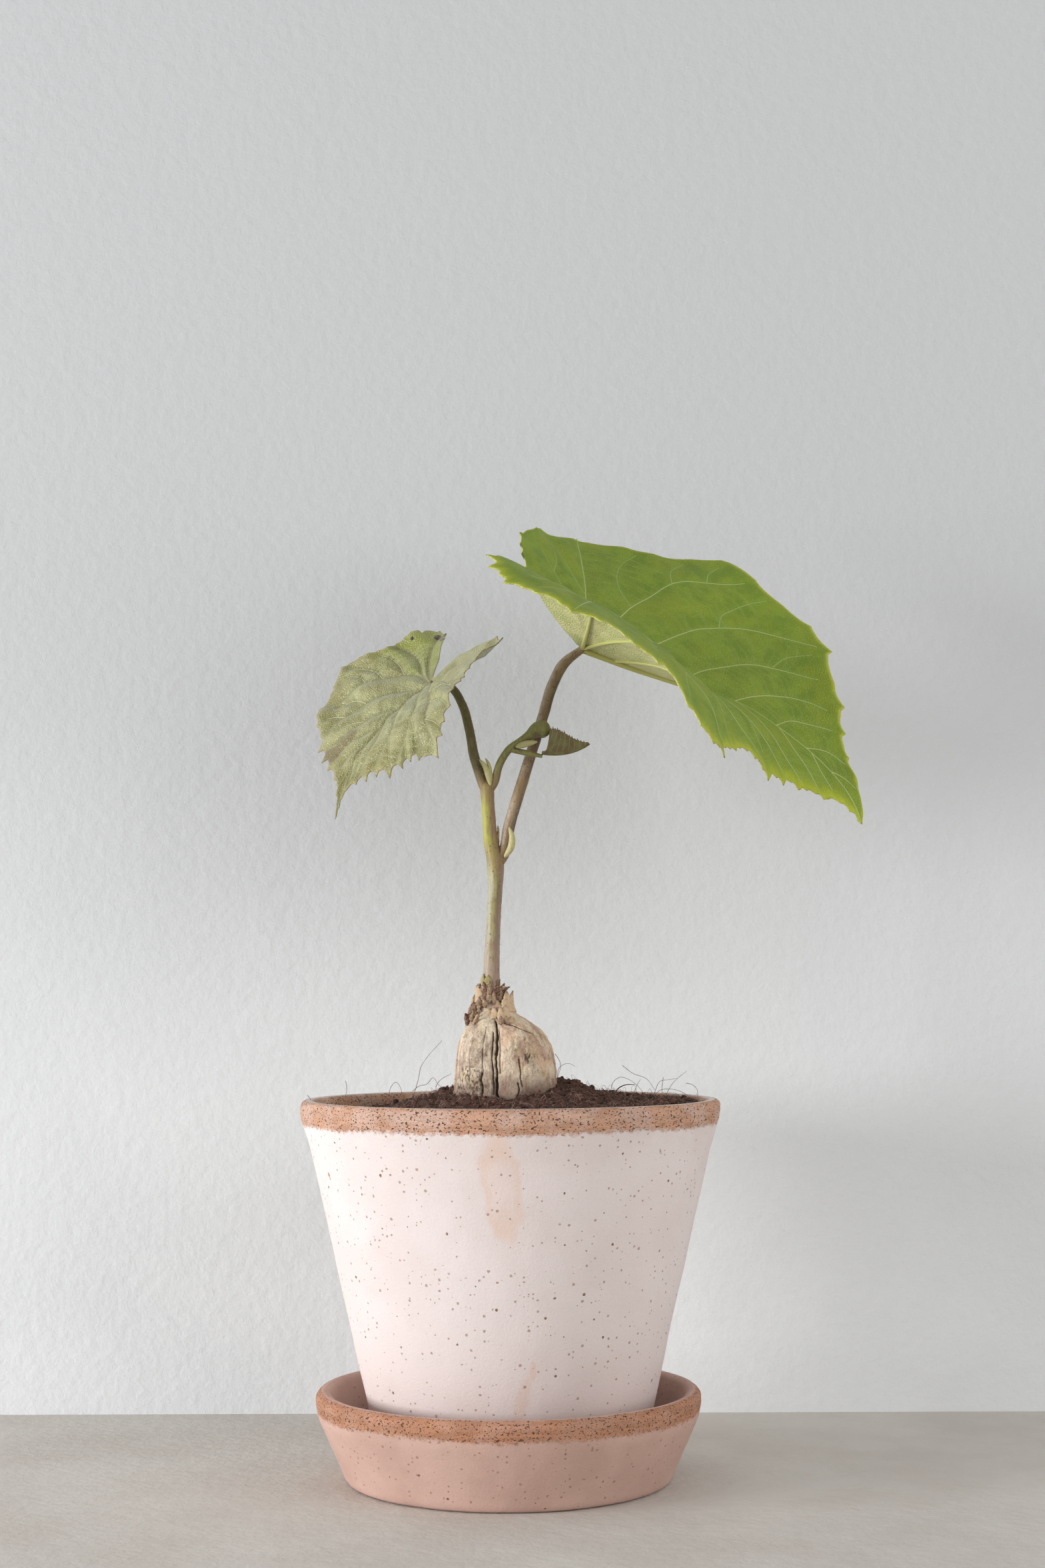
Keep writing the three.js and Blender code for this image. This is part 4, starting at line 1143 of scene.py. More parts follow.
def make_stem(skin, hair, pale):
    """The main stem, both petioles, the shoot and the young leaf's keel as stalks in one piece,
    their hairs in another and the stipules in a third: sweeps of half width sin(pi s^0.8)^0.7."""
    foot = (-5.4, 0, CROWN_HEIGHT - 4)
    main = stalk(
        [foot, (-5.4, 0, 167), (-4.5, 0, 188.4), (-4.1, 0, 204), (-5.6, 0, 212), (-6.1, 0, 219.4),
         (-6.7, 0, 229.6), (-6.8, 0, 232.2)],
        [2.9, 2.8, 2.6, 2.45, 2.4, 2.4, 2.9, 2.5, 2.25, 2.2, 2.5], 36, 240, 101, 0, round_end=True,
    )
    large = stalk(
        [(-4, 0, 203.4), (-1.3, 0.4, 207.4), (0.7, 0.8, 216.4), (6.2, 2, 235), (12.4, 3.2, 254.6),
         (16, 3.8, 266), (19.6, 4.1, 272.6), seat_under(LARGE_LEAF, 0.9)],
        [2.2, 2, 1.95, 1.9, 1.85, 1.85, 1.85, 1.95, 1.3], 32, 240, 113, 1,
    )
    small = stalk(
        [(-6.6, 0, 228), (-8.3, 0.4, 232), (-10.9, 1.4, 239.9), (-13, 3, 250.8), (-15.3, 5, 258.8),
         (-19.4, 6.6, 265), seat_under(SMALL_LEAF, 0.8)],
        [2, 1.75, 1.65, 1.6, 1.5, 1.4, 1], 28, 160, 127, 2,
    )
    shoot = stalk(
        [(-6.6, 0, 228.4), (-4.6, -0.8, 231), (-2.4, -2, 237.6), (1.4, -3.5, 243), (4.4, -4.4, 245),
         (7.6, -5, 247), (10.4, -5, 248.9), (14.9, -5, 249)],
        [1.7, 1.55, 1.45, 1.4, 1.35, 1.3, 1.3, 1.25, 1.25, 1.2, 1.2, 1.3, 1.6, 2.2, 2.9, 3.1, 2.8],
        28, 150, 131, 3, round_end=True,
    )
    keel_line = [(1, -3.4, 242.4), (5.4, -4.4, 241.4), seat_under(YOUNG_LEAF, 1)]
    keel = stalk(keel_line, [0.9, 1, 0.6], 20, 40, 139, 3)
    stalks = (main, large, small, shoot, keel)
    make_piece("stem_and_petioles", merge([s[0] for s in stalks]), skin, "stem_skin", "stem")
    shares = (0.42, 0.25, 0.15, 0.14, 0.04)
    lines = [(s[1], s[2], share) for s, share in zip(stalks, shares)]
    make_piece("stem_hairs", hair_form(lines, 1500, 149), hair, "stem_skin")
    stipules = [scale_form((-4, 1.2, 208), 9, 3.8, 0, (70, 80, 110), 0.5, tone=0.5)]
    for points, radius, tone in STIPULES:
        plump = 0.15 + radius * np.sin(np.pi * np.linspace(0, 1, 30) ** 0.8) ** 0.7
        line = smooth_line(points, 30)
        stipules.append(sweep(line, plump, 16, (0, 1, 0), along=0.3, border=0, tone=tone))
    make_piece("stem_stipules", merge(stipules), pale, "stem_skin")


# Heights of the stem's two nodes, in metres, and their colour
NODE_HEIGHTS = (0.206, 0.23)
NODE_BROWN = (0.24, 0.15, 0.06)


def stem_material():
    """Grey-green skin, yellow-green above the lower node, with painted light and shade across each
    stalk: pale on the lit left and dark brown towards the shaded right, with mauve at the far right
    edge. Petioles and shoot have colours of their own by kind, with the same painted light and
    shade, and both nodes and the foot of each petiole are browner, with fine streaks and dots all
    over."""
    nodes = new_material("Stem skin", 0.55)
    place = nodes.place()
    height = nodes.height(place)
    kind, facing, share = nodes.value("kind"), nodes.value("facing"), nodes.value("share")
    cloud = nodes.noise(place, 4, 4, 0.6)
    # Painted light and shade: the colours below run from pale on the lit left to dark on the shaded
    # right
    turned = nodes.shake(facing, cloud, 0.25)
    low = nodes.paint((0.37, 0.355, 0.23), (0.3, 0.265, 0.09), turned, -0.5, -0.05)
    low = nodes.paint(low, (0.22, 0.155, 0.085), turned, 0, 0.35)
    low = nodes.paint(low, (0.28, 0.18, 0.15), turned, 0.6, 0.95)
    low = nodes.paint(low, (0.38, 0.25, 0.21), height, 0.19, 0.163, 0.65)
    high = nodes.paint((0.37, 0.345, 0.05), (0.28, 0.24, 0.065), turned, -0.7, 0.1)
    high = nodes.paint(high, (0.26, 0.15, 0.085), turned, 0.1, 0.75)
    colour = nodes.paint(low, high, height, 0.196, 0.21)
    # Painted highlight on the petiole's lit left and painted shade on its right
    petiole = nodes.paint((0.52, 0.41, 0.31), (0.25, 0.17, 0.095), turned, -0.9, 0.2)
    petiole = nodes.paint(petiole, (0.13, 0.08, 0.06), turned, 0.2, 0.9)
    olive = nodes.paint((0.2, 0.18, 0.075), (0.11, 0.085, 0.035), turned, -0.8, 0.5)
    colour = nodes.paint(colour, nodes.paint(petiole, olive, kind, 1.4, 1.6), kind, 0.4, 0.6)
    shoot = nodes.paint((0.26, 0.26, 0.08), (0.15, 0.13, 0.05), turned, -0.6, 0.8)
    colour = nodes.paint(colour, shoot, kind, 2.4, 2.6)
    near = [nodes.math("ABSOLUTE", nodes.math("SUBTRACT", height, z)) for z in NODE_HEIGHTS]
    first = nodes.mask(near[0], 0.007, 0.001, 0, 0.6)
    second = nodes.mask(near[1], 0.008, 0.001, 0, 0.75)
    colour = nodes.mix(nodes.math("MAXIMUM", first, second), colour, NODE_BROWN)
    foot = nodes.mask(share, 0.1, 0.02, 0, 0.8)
    colour = nodes.cover(colour, NODE_BROWN, nodes.mask(kind, 0.4, 0.6), foot)
    streaks = nodes.noise(nodes.stretch(place, 1, 1, 0.12), 0.6, 4, 0.6)
    colour = nodes.paint(colour, (0.12, 0.07, 0.045), streaks, 0.5, 0.72, 0.55)
    colour = nodes.paint(colour, (0.5, 0.45, 0.26), streaks, 0.45, 0.28, 0.18)
    dots = use_group(nodes, SPECKS, vector=place, scale=1100.0, reach=0.4)["Mask"]
    colour = nodes.cover(colour, (0.09, 0.05, 0.03), dots, 0.7)
    return nodes.finish(colour, streaks, 0.12)


def hair_material():
    """Cream and straw in soft clouds."""
    nodes = new_material("Pale hair", 0.5)
    tone = nodes.noise(nodes.place(), 5)
    colour = nodes.paint((0.45, 0.38, 0.28), (0.68, 0.62, 0.48), tone, 0.4, 0.6)
    return nodes.finish(colour, tone, 0.02)


# Leaf blades

BLADE_THICKNESS = 0.42


def parabola(u, values):
    """The parabola through three values: at the blade's back (u = -0.35), at 0.3 and at the tip."""
    back, middle, tip = values
    a, b, c = -0.35, 0.3, 1.0
    return (
        back * (u - b) * (u - c) / ((a - b) * (a - c))
        + middle * (u - a) * (u - c) / ((b - a) * (b - c))
        + tip * (u - a) * (u - b) / ((c - a) * (c - b))
    )


def rib_frame(leaf, u):
    """Directions on the midrib: ahead from yaw and pitch, side level and square to it and then
    rolled about it, up = ahead x side."""
    yaw, pitch, roll = (np.radians(parabola(u, leaf[k])) for k in ("yaw", "pitch", "roll"))
    zero = np.zeros_like(yaw)
    ahead = [np.cos(pitch) * np.cos(yaw), np.cos(pitch) * np.sin(yaw), np.sin(pitch)]
    ahead = np.stack(ahead, axis=-1)
    level = np.stack([-np.sin(yaw), np.cos(yaw), zero], axis=-1)
    lifted = np.cross(ahead, level)
    side = level * np.cos(roll)[..., None] + lifted * np.sin(roll)[..., None]
    return ahead, side, np.cross(ahead, side)


def rib_point(leaf, u):
    """The midrib: its direction summed from where the petiole joins, in fine steps."""
    table = np.linspace(-0.5, 1.1, 641)
    middle = (table[1:] + table[:-1]) / 2
    steps = rib_frame(leaf, middle)[0] * (table[1] - table[0]) * leaf["length"]
    line = np.concatenate([[[0, 0, 0]], np.cumsum(steps, axis=0)])
    line = line - np.stack([np.interp(0, table, line[:, i]) for i in range(3)])
    moved = [np.interp(u, table, line[:, i]) for i in range(3)]
    return np.asarray(leaf["at"]) + np.stack(moved, axis=-1)


def blade_point(leaf, u, v):
    """A place on the blade. Each half leaves the midrib at its slope, runs straight for a while
    and then bends evenly: out = w1 cos s + (sin s - sin(s - k w2)) / k, and rise likewise."""
    halves = [leaf["left"], leaf["right"]]

    def blend(key):
        left, right = (parabola(u, half[key]) for half in halves)
        return np.where(v > 0, left, right)

    width = np.abs(v)
    slope = np.radians(blend("slope"))
    bend = np.radians(blend("bend"))
    bend = np.where(np.abs(bend) < 1e-4, 1e-4, bend)
    straight = np.minimum(width, np.maximum(0, blend("straight")))
    turned = slope - bend * (width - straight)
    out = straight * np.cos(slope) + (np.sin(slope) - np.sin(turned)) / bend
    rise = straight * np.sin(slope) + (np.cos(turned) - np.cos(slope)) / bend
    wave = np.sin(leaf["ripples"] * TURN * u + np.where(v > 0, 0, 2))
    rise = rise + leaf["ripple"] * width * wave
    _, side, up = rib_frame(leaf, u)
    scale = leaf["length"]
    across = side * (np.sign(v) * out * scale)[..., None]
    return rib_point(leaf, u) + across + up * (rise * scale)[..., None]


def blade_normal(leaf, u, v):
    """The blade's upward normal from differences over a hundredth of the midrib."""
    step = 0.01
    lengthwise = blade_point(leaf, u + step, v) - blade_point(leaf, u - step, v)
    crosswise = blade_point(leaf, u, v + step) - blade_point(leaf, u, v - step)
    return unit(np.cross(lengthwise, crosswise))


def seat_under(leaf, distance):
    """Where a petiole ends: a distance below the start of the midrib."""
    return np.asarray(leaf["at"]) - rib_frame(leaf, np.array(0.0))[2] * distance


def even_spline(outline, share):
    """Points at shares of the length of a uniform Catmull-Rom curve through the outline, which is
    given in thousandths."""
    knots = np.array(outline) / 1000
    ends = np.concatenate([knots[:1], knots, knots[-1:]])
    t = np.linspace(0, len(knots) - 1, 3000)
    i = np.minimum(t.astype(int), len(knots) - 2)
    f = (t - i)[:, None]
    p0, p1, p2, p3 = ends[i], ends[i + 1], ends[i + 2], ends[i + 3]
    a, b = (p2 - p0) / 2, (p3 - p1) / 2
    line = (2 * p1 - 2 * p2 + a + b) * f**3 + (-3 * p1 + 3 * p2 - 2 * a - b) * f**2 + a * f + p1
    length = length_so_far(line)
    return np.stack([np.interp(share * length[-1], length, line[:, k]) for k in range(2)], axis=1)


def tooth_height(share, teeth):
    """Teeth along the margin: from a valley up a curve to a peak at 0.7 of the pitch, then down.
    Peaks differ by a sine of the tooth's number."""
    peak_at = 0.7
    pitch = (1 - teeth["from"]) / teeth["count"]
    place = (share - teeth["from"]) / pitch
    number = np.floor(place)
    f = place - number
    peak = 0.6 + 0.4 * np.sin(2.4 * number)
    up = (np.clip(f, 0, 1) / peak_at) ** 1.5
    down = 1 - (np.maximum(f - peak_at, 0) / (1 - peak_at)) ** 0.8
    rise = np.where(f < peak_at, up, down)
    height = teeth["height"] * (-0.4 + (peak + 0.4) * np.clip(rise, 0, 1))
    return np.where(share < teeth["from"], 0, height)


# Veins of one half of a blade as (u, v) in thousandths of the midrib: main ones in the order in
# which they lie, then branches
LARGE_LEFT_VEINS = ([
    [(0, 0), (-15, 120), (-30, 240), (-60, 370), (-90, 460), (-130, 560)],
    [(0, 0), (50, 120), (90, 220), (120, 300), (170, 380), (220, 450), (310, 500), (400, 540)],
    [(100, 0), (210, 140), (270, 220), (320, 280), (380, 320), (490, 350), (600, 370)],
    [(300, 0), (360, 90), (420, 140), (480, 190), (540, 220), (640, 250)],
    [(470, 0), (520, 60), (560, 100), (600, 130), (650, 150), (700, 160)],
    [(610, 0), (640, 50), (690, 80), (740, 110)],
    [(720, 0), (770, 40), (830, 55)],
    [(820, 0), (860, 20), (900, 30)],
], [
    [(115, 300), (70, 360), (50, 440), (60, 500), (100, 570)],
    [(220, 450), (210, 510), (240, 580)],
    [(310, 500), (310, 550), (330, 600)],
    [(370, 315), (370, 380), (390, 410), (420, 450), (460, 490)],
    [(530, 220), (550, 280), (600, 330)],
    [(-10, 100), (-130, 250), (-270, 370)],
    [(-40, 270), (-140, 380), (-240, 460)],
    [(-170, 285), (-180, 360), (-220, 430)],
])
LARGE_RIGHT_VEINS = ([
    [(0, 0), (-30, 200), (-70, 380), (-120, 540)],
    [(0, 0), (80, 180), (160, 310), (270, 410), (370, 460), (440, 530)],
    [(100, 0), (210, 130), (330, 240), (460, 300), (560, 300), (650, 270)],
    [(310, 0), (390, 90), (480, 150), (600, 180), (710, 190)],
    [(470, 0), (540, 70), (620, 110), (700, 130), (790, 130)],
    [(620, 0), (690, 50), (770, 70), (850, 80)],
    [(740, 0), (800, 30), (870, 40)],
], [
    [(160, 310), (140, 420), (160, 540)],
    [(270, 410), (270, 500), (300, 600)],
    [(360, 255), (400, 350), (460, 440)],
    [(520, 165), (560, 220), (620, 250)],
    [(-10, 100), (-130, 250), (-270, 370)],
    [(-40, 270), (-140, 380), (-240, 460)],
])
SMALL_LEFT_VEINS = ([
    [(0, 0), (-70, 100), (-160, 210), (-270, 330)],
    [(0, 0), (0, 180), (20, 340), (70, 500)],
    [(0, 0), (30, 90), (90, 210), (170, 340), (290, 450), (370, 530), (410, 570)],
    [(60, 0), (150, 130), (260, 270), (380, 320), (500, 340), (600, 330)],
    [(200, 0), (290, 80), (390, 170), (500, 200), (650, 190)],
    [(370, 0), (430, 50), (530, 100), (660, 100), (760, 90)],
    [(520, 0), (580, 30), (670, 50), (750, 55)],
    [(660, 0), (720, 20), (790, 30)],
], [
    [(170, 340), (140, 440), (160, 550)],
    [(290, 450), (280, 520), (290, 590)],
    [(300, 290), (360, 370), (420, 420), (480, 460)],
    [(440, 335), (500, 380), (550, 400)],
    [(450, 185), (520, 250), (600, 290)],
    [(100, 220), (40, 300), (30, 420)],
])
SMALL_RIGHT_VEINS = ([
    [(0, 0), (-30, 50), (-120, 190), (-210, 270), (-310, 320)],
    [(0, 0), (-20, 110), (-80, 220), (-120, 340), (-110, 420), (-90, 470)],
    [(0, 0), (-10, 80), (-10, 160), (30, 240), (90, 310), (200, 395), (350, 470), (410, 540)],
    [(50, 0), (130, 130), (220, 210), (310, 270), (380, 300), (440, 330), (520, 380)],
    [(230, 0), (300, 80), (360, 130), (420, 160), (470, 180), (580, 250)],
    [(390, 0), (440, 50), (490, 80), (530, 110), (640, 160)],
    [(530, 0), (590, 40), (680, 80)],
    [(660, 0), (710, 20), (770, 30)],
], [
    [(30, 240), (-10, 350), (-10, 420), (20, 500)],
    [(120, 340), (110, 450), (140, 520), (180, 590)],
    [(200, 395), (190, 460), (220, 530), (280, 570)],
    [(300, 265), (310, 330), (340, 400), (400, 450)],
    [(420, 320), (440, 380), (470, 430)],
    [(400, 155), (440, 220), (500, 280)],
])

# A leaf. Yaw, pitch and roll of its midrib in degrees are given at the back, at 0.3 and at the tip,
# and so are each half's slope, bend and straight run. Outlines are (u, v) in thousandths of the
# midrib, spikes and patches start with (u, v) in lengths of it. Millimetres are the length, the
# radius of veins, the gap and radius of cross veins (rungs), the height and width of spikes, and
# the cushion, pucker, groove, wave and rim of the relief and margin.
LARGE_LEAF = {
    "at": (26.4, 3.9, 278.6), "length": 118.0,
    "yaw": (12, 4, -5), "pitch": (-44, -19, -73), "roll": (8, 8, 43), "ripple": 0.006, "ripples": 5,
    "vein": 0.9, "seed": 201, "rung": 4.2, "rung_radius": 0.22, "cushion": 5, "pucker": 0.9,
    "ladder": 0.25, "groove": 0.12, "wave": 1.5, "rim": (0.5, 2.4),
    "patches": {"fresh": [], "brown": [(0.03, -0.06, 0.02)], "hole": []},
    "left": {
        "slope": (50, 37, 28), "bend": (48, -8, 8), "straight": (0, 0, 0),
        "outline": [
            (-20, 0), (-65, 40), (-185, 130), (-285, 218), (-370, 320), (-330, 440), (-215, 520),
            (-20, 580), (200, 600), (350, 630), (450, 525), (590, 415), (670, 270), (785, 100),
            (900, 40), (1000, 0),
        ],
        "veins": LARGE_LEFT_VEINS,
        "teeth": {"count": 18, "from": 0.2, "height": 0.004},
        "spikes": [
            (-0.27, 0.205, 1, 2.5), (-0.315, 0.248, 1.2, 4), (-0.345, 0.28, 0.8, 1.8),
            (-0.372, 0.325, 2, 3), (-0.34, 0.425, 1, 3), (0.33, 0.64, 0.6, 6),
            (0.56, 0.44, 1, 5), (0.63, 0.37, 1.7, 6), (0.715, 0.2, 1.8, 7),
            (0.765, 0.125, 1.5, 5), (0.82, 0.08, 1, 4),
        ],
    },
    "right": {
        "slope": (26, 4, -30), "bend": (191, 91, 105), "straight": (0.09, 0.24, 0.04),
        "outline": [
            (-20, 0), (-70, 45), (-190, 142), (-305, 250), (-375, 328), (-340, 430), (-220, 510),
            (-30, 575), (190, 600), (390, 625), (475, 500), (550, 370), (675, 265), (800, 140),
            (915, 40), (1000, 0),
        ],
        "veins": LARGE_RIGHT_VEINS,
        "teeth": {"count": 44, "from": 0.2, "height": 0.008},
        "spikes": [
            (-0.374, 0.345, 3, 4), (-0.356, 0.408, 2.6, 4), (-0.308, 0.459, 2, 4),
            (-0.22, 0.51, 1.2, 4), (-0.12, 0.54, 1.4, 5), (-0.03, 0.575, 1, 4),
            (0.05, 0.585, 1.2, 4), (0.16, 0.6, 1.2, 4), (0.29, 0.62, 1.6, 5), (0.35, 0.62, 1.6, 5),
            (0.445, 0.55, 2, 6), (0.59, 0.34, 1.4, 5), (0.66, 0.26, 2.8, 6), (0.72, 0.2, 1.6, 5),
            (0.8, 0.14, 1.6, 5), (0.87, 0.07, 1.2, 4),
        ],
    },
}
SMALL_LEAF = {
    "at": (-26.5, 3.4, 266.5), "length": 60.0,
    "yaw": (196, 198, 209), "pitch": (-51, -44, -87), "roll": (-30, -30, -45),
    "ripple": 0.02, "ripples": 4,
    "vein": 0.45, "seed": 301, "rung": 2.4, "rung_radius": 0.12, "cushion": 3.2, "pucker": 1.4,
    "ladder": 0.12, "groove": 0.45, "wave": 1.2, "rim": (0.5, 0.6),
    "patches": {
        "fresh": [(-0.24, -0.36, 0.21), (-0.12, -0.44, 0.16), (-0.08, -0.2, 0.12)],
        "brown": [
            (0.64, -0.21, 0.06), (0.57, -0.18, 0.06), (0.51, -0.15, 0.045), (-0.31, -0.3, 0.03),
        ],
        "hole": [(-0.2, -0.43, 0.012), (-0.31, -0.33, 0.02), (-0.3, -0.27, 0.016)],
    },
    "left": {
        "slope": (9, 28, -10), "bend": (-56, 68, 51), "straight": (0.05, 0.05, 0.05),
        "outline": [
            (-40, 0), (-80, 25), (-200, 75), (-320, 185), (-370, 310), (-320, 420), (-200, 480),
            (-20, 470), (180, 560), (430, 580), (510, 440), (620, 330), (690, 190), (785, 70),
            (880, 18), (1000, 0),
        ],
        "veins": SMALL_LEFT_VEINS,
        "teeth": {"count": 34, "from": 0.17, "height": 0.007},
        "spikes": [
            (-0.37, 0.29, 1, 3), (-0.345, 0.385, 1.8, 2.4), (-0.25, 0.465, 1.6, 2.4),
            (-0.15, 0.48, 1.8, 2.2), (-0.1, 0.473, 1.8, 2.2), (-0.04, 0.468, 2.2, 2.6),
            (0, 0.475, 2.2, 2.6), (0.08, 0.515, 1.2, 3), (0.16, 0.555, 2.2, 3),
            (0.25, 0.575, 1.6, 2.6), (0.33, 0.585, 2.4, 3), (0.42, 0.58, 3.2, 3.6),
            (0.485, 0.49, 2.2, 2.6), (0.53, 0.42, 2.2, 2.6), (0.585, 0.37, 2.4, 2.8),
            (0.64, 0.295, 3.2, 3.2), (0.675, 0.22, 2.4, 2.6), (0.715, 0.155, 2.8, 3.2),
            (0.77, 0.09, 1.6, 2.6),
        ],
    },
    "right": {
        "slope": (-16, 2, -17), "bend": (-132, 3, 116), "straight": (0.14, 0.05, 0.06),
        "outline": [
            (-30, 0), (-50, 35), (-140, 110), (-240, 200), (-340, 300), (-330, 400), (-220, 470),
            (-20, 500), (160, 610), (420, 540), (510, 443), (610, 320), (690, 185), (770, 60),
            (870, 16), (1000, 0),
        ],
        "veins": SMALL_RIGHT_VEINS,
        "teeth": {"count": 30, "from": 0.17, "height": 0.006},
        "spikes": [
            (-0.345, 0.31, 1.2, 1.8), (-0.35, 0.36, 1.4, 1.8), (-0.28, 0.425, -2.2, 3.2),
            (0.2, 0.61, 1.2, 4), (0.3, 0.6, 1, 3), (0.44, 0.56, 1.2, 4), (0.52, 0.45, 0.9, 3),
            (0.62, 0.33, 2.6, 3.5), (0.67, 0.24, 2.2, 3), (0.7, 0.16, 2, 3), (0.78, 0.07, 1.2, 3),
        ],
    },
}
YOUNG_LEAF = {
    "at": (12.2, -5, 240.9), "length": 16.5,
    "yaw": (-4, -4, -4), "pitch": (-20, 2, 36), "roll": (0, 0, 0),
    "fold": 68, "thickness": 0.5, "keel": 0.5,
    "outline": [
        (-20, 40), (60, 80), (100, 300), (130, 520), (300, 540), (550, 430), (800, 210), (1000, 20),
    ],
    "teeth": {"count": 15, "from": 0.32, "height": 0.06},
}


def spike_height(margin, spikes, length):
    """Larger teeth at given places of the margin, millimetres high and wide: each rises from the
    side of the notch as the 2.4th power and falls off again over a third of its width."""
    along_margin = length_so_far(margin) * length
    height = np.zeros(len(margin))
    for u, v, tall, wide in spikes:
        peak = along_margin[np.argmin(np.hypot(margin[:, 0] - u, margin[:, 1] - v))]
        x = (along_margin - peak) / wide
        rise = np.where(x < 0, np.clip(1 + x, 0, 1) ** 2.4, np.clip(1 - x / 0.35, 0, 1) ** 1.3)
        height += tall / length * rise
    return height


def vein_line(vein, count):
    return smooth_line(np.array(vein) / 1000, count)


def vein_lines(leaf):
    """Every vein of a leaf: its (u, v) line, its radius at the start and end in millimetres, and
    its kind, 0 for a main one and 0.5 for a branch."""
    thick = leaf["vein"]
    midrib = smooth_line([(0, 0), (0.3, 0), (0.65, 0), (0.985, 0)], 110)
    lines = [(midrib, 1.25 * thick, 0.22 * thick, 0.0)]
    for half, sign in (("left", 1), ("right", -1)):
        mains, branches = leaf[half]["veins"]
        for i, vein in enumerate(mains):
            start = thick * max(0.35, 0.95 - 0.1 * i)
            lines.append((vein_line(vein, 60) * (1, sign), start, 0.2 * thick, 0.0))
        for vein in branches:
            lines.append((vein_line(vein, 36) * (1, sign), 0.32 * thick, 0.13 * thick, 0.5))
    return lines


def rung_lines(leaf):
    """The cross veins: slightly bowed (u, v) lines from one main vein to the next."""
    random = np.random.default_rng(leaf["seed"])
    rungs = []
    count = 80
    bow = np.linspace(0, 1, 9)
    for half, sign in (("left", 1), ("right", -1)):
        mains = [vein_line(vein, count) for vein in leaf[half]["veins"][0]]
        for a, b in zip(mains[:-1], mains[1:]):
            length = np.linalg.norm(np.diff(a, axis=0), axis=1).sum() * leaf["length"]
            number = max(2, int(length / leaf["rung"]))
            for k in range(number):
                at = 0.12 + 0.86 * (k + random.uniform(-0.25, 0.25)) / number
                start = a[int(np.clip(at, 0.05, 1) * (count - 1))]
                at = at * random.uniform(0.9, 1.0) - 0.06
                end = b[int(np.clip(at, 0.03, 1) * (count - 1))]
                gap = end - start
                normal = np.array([-gap[1], gap[0]])
                wave = 0.1 * np.sin(np.pi * bow)
                wave = wave + 0.05 * random.uniform(-1, 1) * np.sin(3 * np.pi * bow)
                line = start + bow[:, None] * gap + wave[:, None] * normal
                rungs.append(line * (1, sign))
    return rungs


def vein_distance(leaf, u, v):
    """Millimetres from places on the blade to the nearest vein and to the nearest cross vein."""
    shape = u.shape
    flat = np.stack([u.ravel(), v.ravel()], axis=1)
    results = []
    for lines in ([vein[0][::3] for vein in vein_lines(leaf)], rung_lines(leaf)):
        nearest = np.full(len(flat), 9.0)
        starts = np.concatenate([line[:-1] for line in lines])
        ends = np.concatenate([line[1:] for line in lines])
        for upper in (True, False):
            chosen = np.flatnonzero((flat[:, 1] >= 0) == upper)
            keep = (starts[:, 1] >= -1e-9) if upper else (starts[:, 1] <= 1e-9)
            for block in np.array_split(chosen, max(1, len(chosen) // 3000)):
                nearest[block] = nearest_distance(flat[block], starts[keep], ends[keep])
        results.append(nearest.reshape(shape) * leaf["length"])
    return results


def relief(leaf, u, v, vein, rung):
    """How far the blade stands above its plain form: it swells between the veins, sinks along
    them and along the cross veins, and has slow waves that grow towards the margin."""
    place = np.stack([u * leaf["length"], v * leaf["length"], np.zeros_like(u)], axis=-1)
    share = np.clip(np.hypot(u, v) / 0.6, 0, 1)
    swell = 1 - np.exp(-((vein / leaf["cushion"]) ** 2))
    small = 1 - np.exp(-((rung / (0.45 * leaf["cushion"])) ** 2))
    uneven = 0.75 + 0.35 * rough_noise(place, 9.0, 2, leaf["seed"])
    height = leaf["pucker"] * (swell * (1 - leaf["ladder"] * (1 - small)) * uneven - 0.4)
    height = height - leaf["groove"] * np.exp(-((vein / 0.9) ** 2))
    waves = rough_noise(place, 0.24 * leaf["length"], 2, leaf["seed"] + 5)
    return height + leaf["wave"] * share * waves


def blade_surface(leaf, u, v, lift=0.0):
    """Places a distance above the middle of the blade, on its swollen form, with its normals there
    and the distances to the nearest vein and cross vein."""
    vein, rung = vein_distance(leaf, u, v)
    normal = blade_normal(leaf, u, v)
    height = relief(leaf, u, v, vein, rung) + lift
    return blade_point(leaf, u, v) + normal * height[..., None], normal, vein, rung


